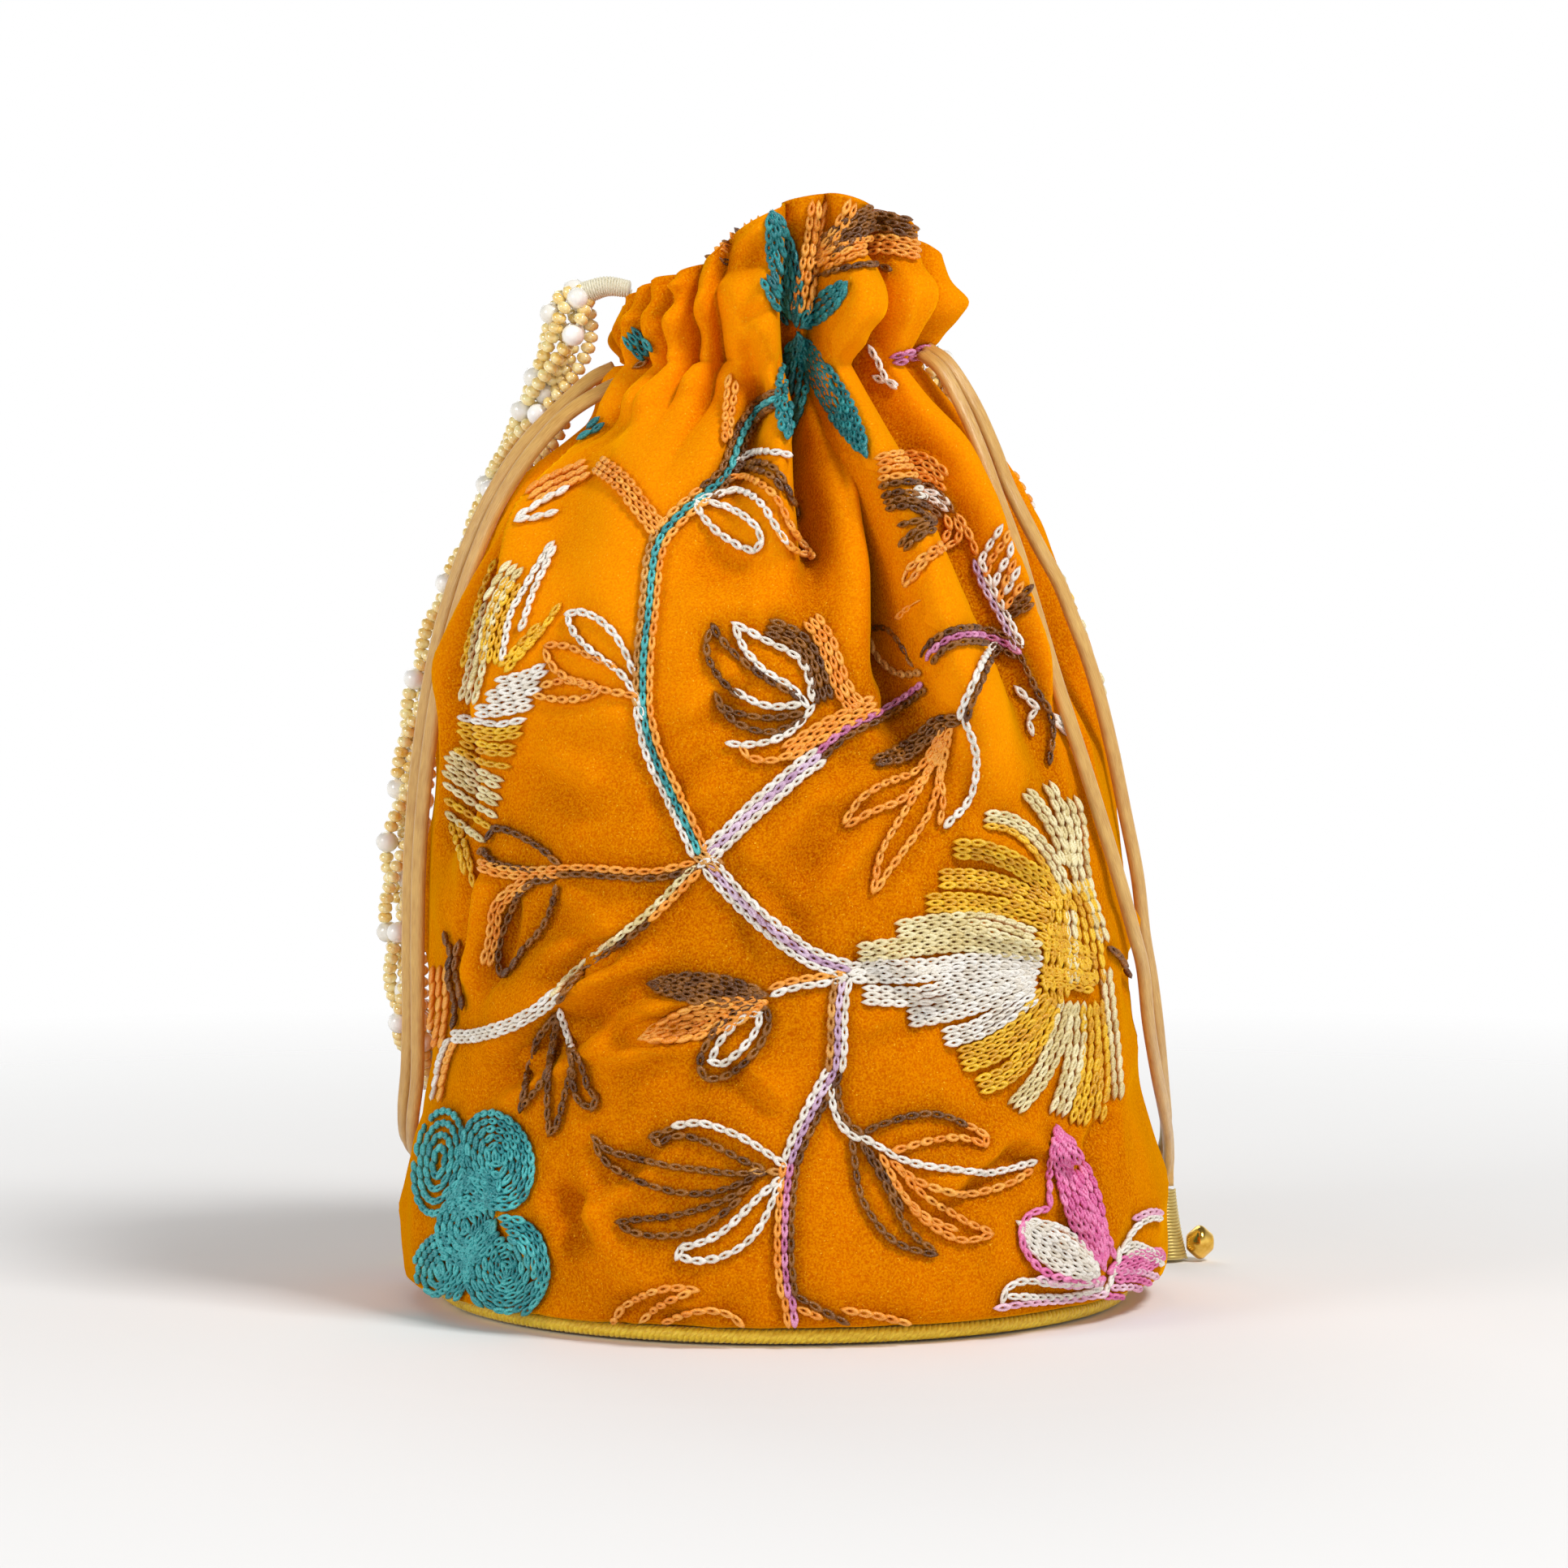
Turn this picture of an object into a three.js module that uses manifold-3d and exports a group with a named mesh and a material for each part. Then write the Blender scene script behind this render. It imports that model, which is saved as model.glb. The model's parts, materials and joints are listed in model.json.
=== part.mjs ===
// A drawstring pouch of orange velvet: a gathered bag on a stiff round base with a piped edge,
// two drawstrings that hang at its sides, each ending in a wound cone and a bead, and a handle
// that is a bundle of bead strings. Millimetres, +Z up, the origin under the middle of the base.
// Angles run round the pouch from its right-hand side (+X), and -90 degrees is its front (-Y).
import * as THREE from "three";
import Module from "manifold-3d";
import { mergeVertices } from "three/addons/utils/BufferGeometryUtils.js";

const wasm = await Module();
wasm.setup();

// Driving sizes
const GAP = 0.3; // between pieces that touch
const CLOTH = 2.2; // velvet with its backing, measured level
const BODY_WIDTH = 155; // across the fullest part of the bag
const BODY_DEPTH = 148; // front to back at the same level
const NECK_WIDTH = 52; // where the drawstrings pull the cloth in
const NECK_DEPTH = 46;
const NECK_LEVEL = 187; // from the floor to the drawstrings
const RUFFLE_HEIGHT = 33; // of the frill's tallest part, above the drawstrings
const RUFFLE_FLARE = 9; // how far the frill opens beyond the neck
const BASE_DIAMETER = 137; // to the middle of the piping
const PIPING_DIAMETER = 3.2;
const BASE_THICKNESS = 3.2;
const FOLD_DEPTH = 8; // of the deepest fold that runs down from the neck
const GATHER_DEPTH = 8; // from crest to valley, at the neck
const GATHER_COUNT = 12;
const CORD_DIAMETER = 3;
const CONE_HEIGHT = 15;
const CONE_TOP_DIAMETER = 7;
const CONE_FOOT_DIAMETER = 8.6;
const CONE_RIBS = 5;
const END_BEAD_DIAMETER = 7;
const END_BEAD_LENGTH = 5.4;
const HANDLE_DIAMETER = 8.4; // of the bundle of bead strings
const PEARL_DIAMETER = 4.4;
const WRAP_END_DIAMETER = 4.6;

// Facets
const AROUND = 80; // points in each ring of the pouch
const CORD_SIDES = 8;
const CORD_STEPS = 22;
const HANDLE_SIDES = 10;
const HANDLE_STEPS = 44;
const BASE_SIDES = 36;

const radians = THREE.MathUtils.degToRad;
const material = (color, roughness, metalness = 0) =>
  new THREE.MeshStandardMaterial({ color, roughness, metalness });
const FINISHES = {
  velvet: material("#f29a0a", 0.9),
  base_cloth: material("#e89a12", 0.9),
  piping: material("#d2b21c", 0.6),
  satin_cord: material("#c99a4a", 0.45),
  gilt_thread: material("#b9a14f", 0.4, 0.5),
  gold: material("#d6a63a", 0.25, 1),
  beads: material("#e6c98a", 0.2),
  wrap_thread: material("#ece4c8", 0.8),
};

const group = new THREE.Group();

function addPiece(name, geometry, finish) {
  const mesh = new THREE.Mesh(geometry, FINISHES[finish]);
  mesh.name = name;
  group.add(mesh);
  return mesh;
}

// The bag's level sections, from the hem up to the neck. level is a share of the way from hem to
// neck. base, body and neck say how much of each of those sizes the section has, and lean how far
// it sits to the right, as a share of half the body's width.
const SECTIONS = [
  { level: 0.0, base: 1.0, body: 0.0, neck: 0.0, lean: 0.0 },
  { level: 0.004, base: 0.28, body: 0.72, neck: 0.0, lean: 0.0 },
  { level: 0.025, base: 0.04, body: 0.96, neck: 0.0, lean: 0.0 },
  { level: 0.07, base: 0.0, body: 1.0, neck: 0.0, lean: 0.0 },
  { level: 0.135, base: 0.0, body: 0.96, neck: 0.04, lean: 0.0 },
  { level: 0.22, base: 0.0, body: 0.89, neck: 0.11, lean: 0.002 },
  { level: 0.34, base: 0.0, body: 0.874, neck: 0.126, lean: -0.012 },
  { level: 0.43, base: 0.0, body: 0.864, neck: 0.136, lean: -0.02 },
  { level: 0.515, base: 0.0, body: 0.83, neck: 0.17, lean: -0.034 },
  { level: 0.61, base: 0.0, body: 0.77, neck: 0.23, lean: -0.046 },
  { level: 0.7, base: 0.0, body: 0.685, neck: 0.315, lean: -0.056 },
  { level: 0.785, base: 0.0, body: 0.56, neck: 0.44, lean: -0.052 },
  { level: 0.857, base: 0.0, body: 0.425, neck: 0.575, lean: -0.048 },
  { level: 0.91, base: 0.0, body: 0.27, neck: 0.73, lean: -0.032 },
  { level: 0.962, base: 0.0, body: 0.1, neck: 0.9, lean: -0.025 },
  { level: 1.0, base: 0.0, body: 0.0, neck: 1.0, lean: -0.025 },
];

// The frill above the neck, by angle: rise is its height there as a share of the tallest part,
// flare how far it opens as a share of the widest.
const RUFFLE = [
  { angle: -180, rise: 0.37, flare: 0.95 },
  { angle: -150, rise: 0.49, flare: 0.8 },
  { angle: -125, rise: 0.6, flare: 0.5 },
  { angle: -105, rise: 0.85, flare: 0.25 },
  { angle: -85, rise: 0.98, flare: 0.15 },
  { angle: -62, rise: 1.0, flare: 0.45 },
  { angle: -30, rise: 0.86, flare: 0.8 },
  { angle: 0, rise: 0.64, flare: 0.85 },
  { angle: 35, rise: 0.6, flare: 0.8 },
  { angle: 75, rise: 0.62, flare: 0.6 },
  { angle: 110, rise: 0.5, flare: 0.7 },
  { angle: 145, rise: 0.4, flare: 0.85 },
  { angle: 180, rise: 0.37, flare: 0.95 },
];

// Folds that run down from the neck. foot and head are the levels between which a fold shows,
// footAngle and headAngle where it lies there, depth its share of the deepest fold, outwards if
// positive, and width half its breadth in degrees.
const FOLDS = [
  { name: "left pleat", foot: 0.38, footAngle: -150, head: 0.99, headAngle: -118, depth: 0.8, width: 15 },
  { name: "left recess", foot: 0.36, footAngle: -166, head: 0.97, headAngle: -142, depth: -0.75, width: 12 },
  { name: "middle recess", foot: 0.72, footAngle: -86, head: 1.0, headAngle: -84, depth: -0.9, width: 11 },
  { name: "middle pleat", foot: 0.74, footAngle: -100, head: 1.0, headAngle: -99, depth: 0.45, width: 9 },
  { name: "right recess", foot: 0.56, footAngle: -61, head: 0.97, headAngle: -70, depth: -0.6, width: 9 },
  { name: "right pleat", foot: 0.5, footAngle: -46, head: 1.0, headAngle: -56, depth: 0.75, width: 13 },
  { name: "flank recess", foot: 0.55, footAngle: -24, head: 0.96, headAngle: -30, depth: -0.45, width: 10 },
  { name: "flank pleat", foot: 0.45, footAngle: -8, head: 0.97, headAngle: -10, depth: 0.2, width: 12 },
  { name: "rear right recess", foot: 0.55, footAngle: 28, head: 0.98, headAngle: 24, depth: -0.6, width: 11 },
  { name: "rear right pleat", foot: 0.42, footAngle: 50, head: 1.0, headAngle: 46, depth: 0.45, width: 12 },
  { name: "rear recess", foot: 0.5, footAngle: 84, head: 0.99, headAngle: 78, depth: -0.7, width: 11 },
  { name: "rear pleat", foot: 0.4, footAngle: 104, head: 1.0, headAngle: 100, depth: 0.5, width: 12 },
  { name: "rear left recess", foot: 0.56, footAngle: 132, head: 0.98, headAngle: 128, depth: -0.6, width: 11 },
  { name: "rear left pleat", foot: 0.45, footAngle: 158, head: 0.99, headAngle: 154, depth: 0.15, width: 12 },
];

// Shallow dents low on the bag. level and angle say where, tall and wide how far each reaches,
// in levels and degrees, slant how it turns as it rises, in degrees for each level.
const DENTS = [
  { name: "left waist dent", level: 0.4, angle: -128, tall: 0.05, wide: 22, slant: 300, depth: -0.28 },
  { name: "left low dent", level: 0.1, angle: -128, tall: 0.07, wide: 7, slant: 30, depth: -0.3 },
  { name: "right low dent", level: 0.17, angle: -38, tall: 0.05, wide: 12, slant: -160, depth: -0.28 },
  { name: "belly crease", level: 0.47, angle: -86, tall: 0.1, wide: 6, slant: -20, depth: -0.22 },
  { name: "rear waist dent", level: 0.36, angle: 70, tall: 0.05, wide: 20, slant: -200, depth: -0.28 },
  { name: "rear low dent", level: 0.15, angle: 118, tall: 0.06, wide: 9, slant: 60, depth: -0.26 },
];

// A smooth value from a table's column, by the Catmull-Rom rule.
function readTable(table, key, column, at) {
  const last = table.length - 2;
  let row = 0;
  while (row < last && at > table[row + 1][key]) row += 1;
  const [low, high] = [table[row], table[row + 1]];
  const before = table[Math.max(row - 1, 0)];
  const after = table[Math.min(row + 2, table.length - 1)];
  const span = high[key] - low[key];
  const share = THREE.MathUtils.clamp((at - low[key]) / span, 0, 1);
  const slope = (a, b) => ((b[column] - a[column]) / Math.max(b[key] - a[key], 1e-9)) * span;
  const [startSlope, endSlope] = [slope(before, high), slope(low, after)];
  const [s2, s3] = [share * share, share * share * share];
  return (
    (2 * s3 - 3 * s2 + 1) * low[column] +
    (s3 - 2 * s2 + share) * startSlope +
    (3 * s2 - 2 * s3) * high[column] +
    (s3 - s2) * endSlope
  );
}

const smooth = (low, high, at) => THREE.MathUtils.smoothstep(at, low, high);
const bump = (offset) => Math.exp(-offset * offset);
const turnBetween = (a, b) => ((((a - b) % 360) + 540) % 360) - 180;

// How far folds and dents push the cloth out at an angle and a level.
function foldHeight(angle, level) {
  let out = 0;
  for (const fold of FOLDS) {
    const share = THREE.MathUtils.clamp((level - fold.foot) / (fold.head - fold.foot), 0, 1);
    const centre = THREE.MathUtils.lerp(fold.footAngle, fold.headAngle, share);
    const fade = smooth(0, 0.45, share) * (1 - 0.6 * smooth(0.8, 1, share));
    out += fold.depth * fade * bump(turnBetween(angle, centre) / fold.width);
  }
  for (const dent of DENTS) {
    const rise = level - dent.level;
    const across = turnBetween(angle, dent.angle) - dent.slant * rise;
    out += dent.depth * bump(rise / dent.tall) * bump(across / dent.wide);
  }
  return out * FOLD_DEPTH;
}

// The gathers at the neck, uneven like hand-pulled cloth: crests and valleys from +1 to -1.
function gatherWave(angle) {
  const turn = radians(angle);
  return Math.cos(GATHER_COUNT * turn + 0.9 * Math.sin(2 * turn) + 0.5 * Math.sin(3 * turn));
}

// The radius of an oval with half sizes across and deep, at an angle.
function ovalRadius(across, deep, angle) {
  const turn = radians(angle);
  return 1 / Math.hypot(Math.cos(turn) / across, Math.sin(turn) / deep);
}

const HEM_LEVEL = BASE_THICKNESS + GAP; // the bag's sewn edge sits on the piping
const HALF = { body: [BODY_WIDTH / 2, BODY_DEPTH / 2], neck: [NECK_WIDTH / 2, NECK_DEPTH / 2] };
const HALF_BASE = BASE_DIAMETER / 2;

// A section's half width, half depth and lean.
function section(level) {
  const [base, body, neck, lean] = ["base", "body", "neck", "lean"].map((column) =>
    readTable(SECTIONS, "level", column, level),
  );
  return {
    across: base * HALF_BASE + body * HALF.body[0] + neck * HALF.neck[0],
    deep: base * HALF_BASE + body * HALF.body[1] + neck * HALF.neck[1],
    lean: (lean * BODY_WIDTH) / 2,
  };
}

// A point of the bag below the neck. inset is how far inside the outer face it lies.
function bodyPoint(angle, level, inset) {
  const { across, deep, lean } = section(level);
  const gathered = smooth(0.72, 1, level) ** 1.5;
  const radius =
    ovalRadius(across, deep, angle) +
    foldHeight(angle, level) +
    (GATHER_DEPTH / 2) * gathered * gatherWave(angle) -
    inset;
  const z = HEM_LEVEL + level * (NECK_LEVEL - HEM_LEVEL);
  return new THREE.Vector3(lean + radius * Math.cos(radians(angle)), radius * Math.sin(radians(angle)), z);
}

// A point of the frill. share runs from the neck, 0, to the frill's edge, 1.
function rufflePoint(angle, share, inset) {
  const { across, deep, lean } = section(1);
  const rise = readTable(RUFFLE, "angle", "rise", turnBetween(angle, 0));
  const flare = readTable(RUFFLE, "angle", "flare", turnBetween(angle, 0));
  const opened = Math.sin(Math.min(share * 1.5, 1) * (Math.PI / 2)) - 0.25 * smooth(0.6, 1, share);
  const radius =
    ovalRadius(across, deep, angle) +
    RUFFLE_FLARE * flare * opened +
    foldHeight(angle, 1) * (1 - share) +
    (GATHER_DEPTH / 2) * (1 - 0.35 * share) * gatherWave(angle) -
    inset;
  const z = NECK_LEVEL + share * rise * RUFFLE_HEIGHT;
  const drift = 4 * smooth(0.3, 1, share) * Math.max(rise - 0.5, 0); // the tall part leans right
  return new THREE.Vector3(
    lean + drift + radius * Math.cos(radians(angle)),
    radius * Math.sin(radians(angle)),
    z,
  );
}

// One ring of the pouch's wall. at is a level up to 1, and past 1 a share of the frill.
function pouchRing(at, inset) {
  return Array.from({ length: AROUND }, (_, i) => {
    const angle = (360 * i) / AROUND;
    return at <= 1 ? bodyPoint(angle, at, inset) : rufflePoint(angle, at - 1, inset);
  });
}

// A closed solid from rings of as many points each, where the last ring joins the first.
function loftClosed(rings) {
  const count = rings[0].length;
  const positions = rings.flat().flatMap((p) => [p.x, p.y, p.z]);
  const faces = [];
  rings.forEach((_, r) => {
    const next = ((r + 1) % rings.length) * count;
    const here = r * count;
    for (let i = 0; i < count; i += 1) {
      const j = (i + 1) % count;
      faces.push(here + i, here + j, next + j, here + i, next + j, next + i);
    }
  });
  const geometry = new THREE.BufferGeometry();
  geometry.setAttribute("position", new THREE.Float32BufferAttribute(positions, 3));
  geometry.setIndex(faces);
  geometry.computeVertexNormals();
  return geometry;
}

// The rings that the outer face needs, and the fewer that the inner face needs.
const OUTER_RINGS = [
  0, 0.025, 0.06, 0.11, 0.17, 0.24, 0.32, 0.39, 0.46, 0.53, 0.6, 0.67, 0.74, 0.8, 0.85, 0.9, 0.94, 0.975,
  1, 1.1, 1.24, 1.4, 1.58, 1.78, 1.92, 2,
];
const INNER_RINGS = [0, 0.06, 0.17, 0.32, 0.46, 0.6, 0.74, 0.85, 0.94, 1, 1.1, 1.4, 1.78, 2];

function addPouch() {
  const outside = OUTER_RINGS.map((at) => pouchRing(at, 0));
  const inside = INNER_RINGS.map((at) => pouchRing(at, CLOTH)).reverse();
  addPiece("velvet_pouch", loftClosed([...outside, ...inside]), "velvet");
}

// The stiff round base and the piped edge that the bag is sewn to
function addBase() {
  const baseRadius = (HALF_BASE - PIPING_DIAMETER / 2) * Math.cos(Math.PI / BASE_SIDES) - GAP;
  const panel = new THREE.CylinderGeometry(baseRadius, baseRadius, BASE_THICKNESS, BASE_SIDES);
  panel.rotateX(Math.PI / 2).translate(0, 0, BASE_THICKNESS / 2);
  addPiece("base_panel", panel, "base_cloth");
  const piping = new THREE.TorusGeometry(HALF_BASE, PIPING_DIAMETER / 2, CORD_SIDES, BASE_SIDES);
  piping.translate(0, 0, PIPING_DIAMETER / 2);
  addPiece("base_piping", piping, "piping");
}

function route(points) {
  return new THREE.CatmullRomCurve3(points.map((p) => new THREE.Vector3(...p)), false, "centripetal");
}

function roundSection(diameter, sides) {
  const corners = Array.from({ length: sides }, (_, i) => {
    const turn = (2 * Math.PI * i) / sides;
    return new THREE.Vector2(Math.cos(turn), Math.sin(turn)).multiplyScalar(diameter / 2);
  });
  return new THREE.Shape(corners);
}

function tube(path, diameter, sides, steps) {
  return new THREE.ExtrudeGeometry(roundSection(diameter, sides), { steps, extrudePath: path });
}

// The drawstrings: two runs of satin cord hang down each side from the neck to a wound cone.
const CORD_ROUTES = {
  drawstring_left_front: [
    [-32.0, -6.5, 184.0],
    [-37.0, -7.5, 181.6],
    [-43.6, -8.2, 177.2],
    [-50.4, -8.6, 169.8],
    [-56.6, -8.8, 160.4],
    [-61.4, -9.0, 149.8],
    [-65.6, -9.2, 137.0],
    [-69.3, -9.2, 122.0],
    [-71.8, -9.0, 105.0],
    [-73.2, -8.4, 88.0],
    [-73.7, -6.6, 72.0],
    [-74.0, -2.6, 56.0],
    [-74.6, 4.0, 43.0],
    [-76.2, 13.0, 33.0],
    [-76.8, 23.0, 26.0],
    [-75.6, 32.0, 21.6],
    [-74.2, 37.8, 18.6],
    [-74.2, 38.6, 15.7],
  ],
  drawstring_left_rear: [
    [-34.0, -1.6, 186.8],
    [-38.4, -2.6, 184.6],
    [-44.6, -3.4, 179.2],
    [-51.8, -3.8, 171.8],
    [-58.4, -4.0, 161.8],
    [-63.8, -4.0, 150.4],
    [-68.2, -4.0, 137.2],
    [-71.6, -3.8, 122.0],
    [-74.0, -3.4, 105.0],
    [-75.4, -2.4, 88.0],
    [-75.9, -0.4, 72.0],
    [-76.2, 3.4, 57.0],
    [-77.0, 9.6, 44.6],
    [-78.4, 18.6, 34.6],
    [-78.6, 28.0, 27.6],
    [-76.2, 37.4, 22.4],
    [-72.4, 41.2, 18.6],
    [-71.8, 41.4, 15.7],
  ],
  drawstring_right_front: [
    [27.6, -8.4, 189.4],
    [31.0, -11.0, 186.6],
    [35.0, -13.6, 179.6],
    [38.8, -17.0, 170.6],
    [42.6, -20.0, 160.0],
    [45.8, -21.4, 151.2],
    [49.2, -23.4, 140.0],
    [53.8, -26.2, 124.4],
    [56.6, -28.0, 115.8],
    [59.4, -28.6, 107.2],
    [63.0, -26.8, 96.0],
    [66.6, -23.4, 84.6],
    [69.4, -18.4, 75.2],
    [71.8, -11.4, 67.0],
    [73.6, -3.0, 55.0],
    [76.0, 9.0, 44.0],
    [78.6, 22.0, 34.0],
    [80.2, 33.0, 27.0],
    [80.8, 40.2, 21.4],
    [80.7, 42.6, 18.4],
    [80.7, 42.6, 15.7],
  ],
  drawstring_right_rear: [
    [28.6, -4.0, 190.6],
    [32.2, -6.4, 188.2],
    [37.4, -9.0, 180.4],
    [41.8, -10.8, 170.8],
    [44.4, -12.0, 163.8],
    [47.6, -13.6, 157.2],
    [51.2, -14.6, 150.2],
    [54.6, -15.4, 144.0],
    [57.4, -15.0, 137.0],
    [60.4, -13.8, 129.2],
    [62.9, -12.6, 121.2],
    [65.7, -11.2, 110.0],
    [68.2, -8.0, 98.6],
    [71.3, -2.0, 84.6],
    [73.2, 4.6, 71.8],
    [75.0, 10.0, 63.0],
    [77.0, 17.4, 50.8],
    [78.8, 28.0, 38.6],
    [80.0, 36.6, 30.4],
    [80.0, 43.0, 24.0],
    [78.4, 45.3, 18.8],
    [78.3, 45.4, 15.7],
  ],
};

function addDrawstrings() {
  for (const [name, points] of Object.entries(CORD_ROUTES))
    addPiece(name, tube(route(points), CORD_DIAMETER, CORD_SIDES, CORD_STEPS), "satin_cord");
}

// A cone wound with gilt thread stands under the ends of a drawstring's two runs, with a bead
// beside its foot. turn is the way that the bead lies, in degrees.
function addCordEnd(side, turn) {
  const ends = ["front", "rear"].map((run) => CORD_ROUTES[`drawstring_${side}_${run}`].at(-1));
  const [x, y] = [0, 1].map((axis) => (ends[0][axis] + ends[1][axis]) / 2);
  const profile = [new THREE.Vector2(0, 0)];
  for (let rib = 0; rib <= CONE_RIBS; rib += 1) {
    const share = rib / CONE_RIBS;
    const radius = THREE.MathUtils.lerp(CONE_FOOT_DIAMETER, CONE_TOP_DIAMETER, share ** 0.8) / 2;
    profile.push(new THREE.Vector2(radius - 0.35, share * CONE_HEIGHT));
    if (rib < CONE_RIBS) profile.push(new THREE.Vector2(radius, (share + 0.5 / CONE_RIBS) * CONE_HEIGHT));
  }
  profile.push(new THREE.Vector2(0, CONE_HEIGHT));
  const cone = new THREE.LatheGeometry(profile, 12).rotateX(Math.PI / 2);
  const place = new THREE.Group();
  place.position.set(x, y, 0);
  place.rotation.z = radians(turn);
  group.add(place);
  place.add(addPiece(`cord_cone_${side}`, cone, "gilt_thread"));

  const half = END_BEAD_LENGTH / 2;
  const bicone = [
    [0, -half],
    [END_BEAD_DIAMETER * 0.22, -half],
    [END_BEAD_DIAMETER / 2, -half * 0.1],
    [END_BEAD_DIAMETER / 2, half * 0.1],
    [END_BEAD_DIAMETER * 0.22, half],
    [0, half],
  ].map((p) => new THREE.Vector2(...p));
  const bead = new THREE.LatheGeometry(bicone, 12).rotateZ(-Math.PI / 2);
  bead.translate(CONE_FOOT_DIAMETER / 2 + GAP + half, 0, END_BEAD_DIAMETER / 2);
  place.add(addPiece(`cord_bead_${side}`, bead, "gold"));
}

// The handle: a bundle of bead strings from the neck's left side, down behind the bag and up to
// its right side.
const HANDLE_ROUTE = [
  [-42.4, 2.6, 199.4],
  [-43.4, 4.2, 193.4],
  [-45.6, 6.6, 186.0],
  [-49.2, 10.4, 177.0],
  [-53.4, 15.4, 168.0],
  [-57.2, 19.4, 160.0],
  [-61.2, 22.0, 150.0],
  [-64.6, 23.6, 141.0],
  [-68.0, 24.2, 131.0],
  [-70.5, 24.4, 120.0],
  [-72.4, 24.2, 107.0],
  [-74.2, 23.0, 95.0],
  [-75.4, 21.6, 82.0],
  [-75.8, 21.8, 66.0],
  [-75.2, 24.8, 52.0],
  [-73.2, 31.6, 43.6],
  [-68.4, 42.0, 37.4],
  [-60.0, 53.0, 35.2],
  [-47.5, 63.4, 36.0],
  [-31.0, 70.8, 40.4],
  [-13.5, 74.2, 51.0],
  [1.5, 74.2, 67.0],
  [12.5, 72.2, 86.0],
  [20.8, 67.8, 105.0],
  [27.0, 61.8, 123.0],
  [31.4, 55.6, 139.6],
  [34.0, 48.0, 154.6],
  [34.6, 38.4, 168.2],
  [32.8, 28.0, 180.4],
  [29.2, 21.6, 189.6],
];
const HANDLE_WRAPS = {
  handle_wrap_left: [
    [-31.0, 0.4, 202.6],
    [-35.6, 1.0, 203.2],
    [-40.4, 2.0, 201.8],
  ],
  handle_wrap_right: [
    [28.7, 21.1, 190.8],
    [26.9, 19.4, 193.4],
    [25.2, 18.2, 195.2],
  ],
};
const PEARL_PITCH = 0.062; // along the handle, as a share of its length
const PEARL_TURN = 137.5; // degrees round the bundle from one pearl to the next

function toSolid(geometry) {
  const bare = geometry.clone();
  bare.deleteAttribute("normal");
  bare.deleteAttribute("uv");
  const merged = mergeVertices(bare, 1e-4);
  return new wasm.Manifold(
    new wasm.Mesh({
      numProp: 3,
      vertProperties: new Float32Array(merged.attributes.position.array),
      triVerts: new Uint32Array(merged.index.array),
    }),
  );
}

function toGeometry(solid) {
  const mesh = solid.getMesh();
  const geometry = new THREE.BufferGeometry();
  geometry.setAttribute("position", new THREE.BufferAttribute(new Float32Array(mesh.vertProperties), 3));
  geometry.setIndex(new THREE.BufferAttribute(new Uint32Array(mesh.triVerts), 1));
  geometry.computeVertexNormals();
  return geometry;
}

function addHandle() {
  const path = route(HANDLE_ROUTE);
  let bundle = toSolid(tube(path, HANDLE_DIAMETER, HANDLE_SIDES, HANDLE_STEPS));
  const frames = path.computeFrenetFrames(HANDLE_STEPS);
  const pearl = new THREE.SphereGeometry(PEARL_DIAMETER / 2, 8, 5);
  const reach = HANDLE_DIAMETER / 2 - PEARL_DIAMETER * 0.18;
  for (let i = 0, at = PEARL_PITCH / 2; at < 1; i += 1, at += PEARL_PITCH) {
    const frame = Math.round(at * HANDLE_STEPS);
    const turn = radians(i * PEARL_TURN);
    const out = frames.normals[frame]
      .clone()
      .multiplyScalar(Math.cos(turn))
      .addScaledVector(frames.binormals[frame], Math.sin(turn));
    const centre = path.getPointAt(at).addScaledVector(out, reach);
    bundle = bundle.add(toSolid(pearl.clone().translate(centre.x, centre.y, centre.z)));
  }
  addPiece("bead_handle", toGeometry(bundle), "beads");
  for (const [name, points] of Object.entries(HANDLE_WRAPS))
    addPiece(name, tube(route(points), WRAP_END_DIAMETER, CORD_SIDES, 4), "wrap_thread");
}

addPouch();
addBase();
addDrawstrings();
addCordEnd("left", 100);
addCordEnd("right", 0);
addHandle();

export default group;
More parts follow.
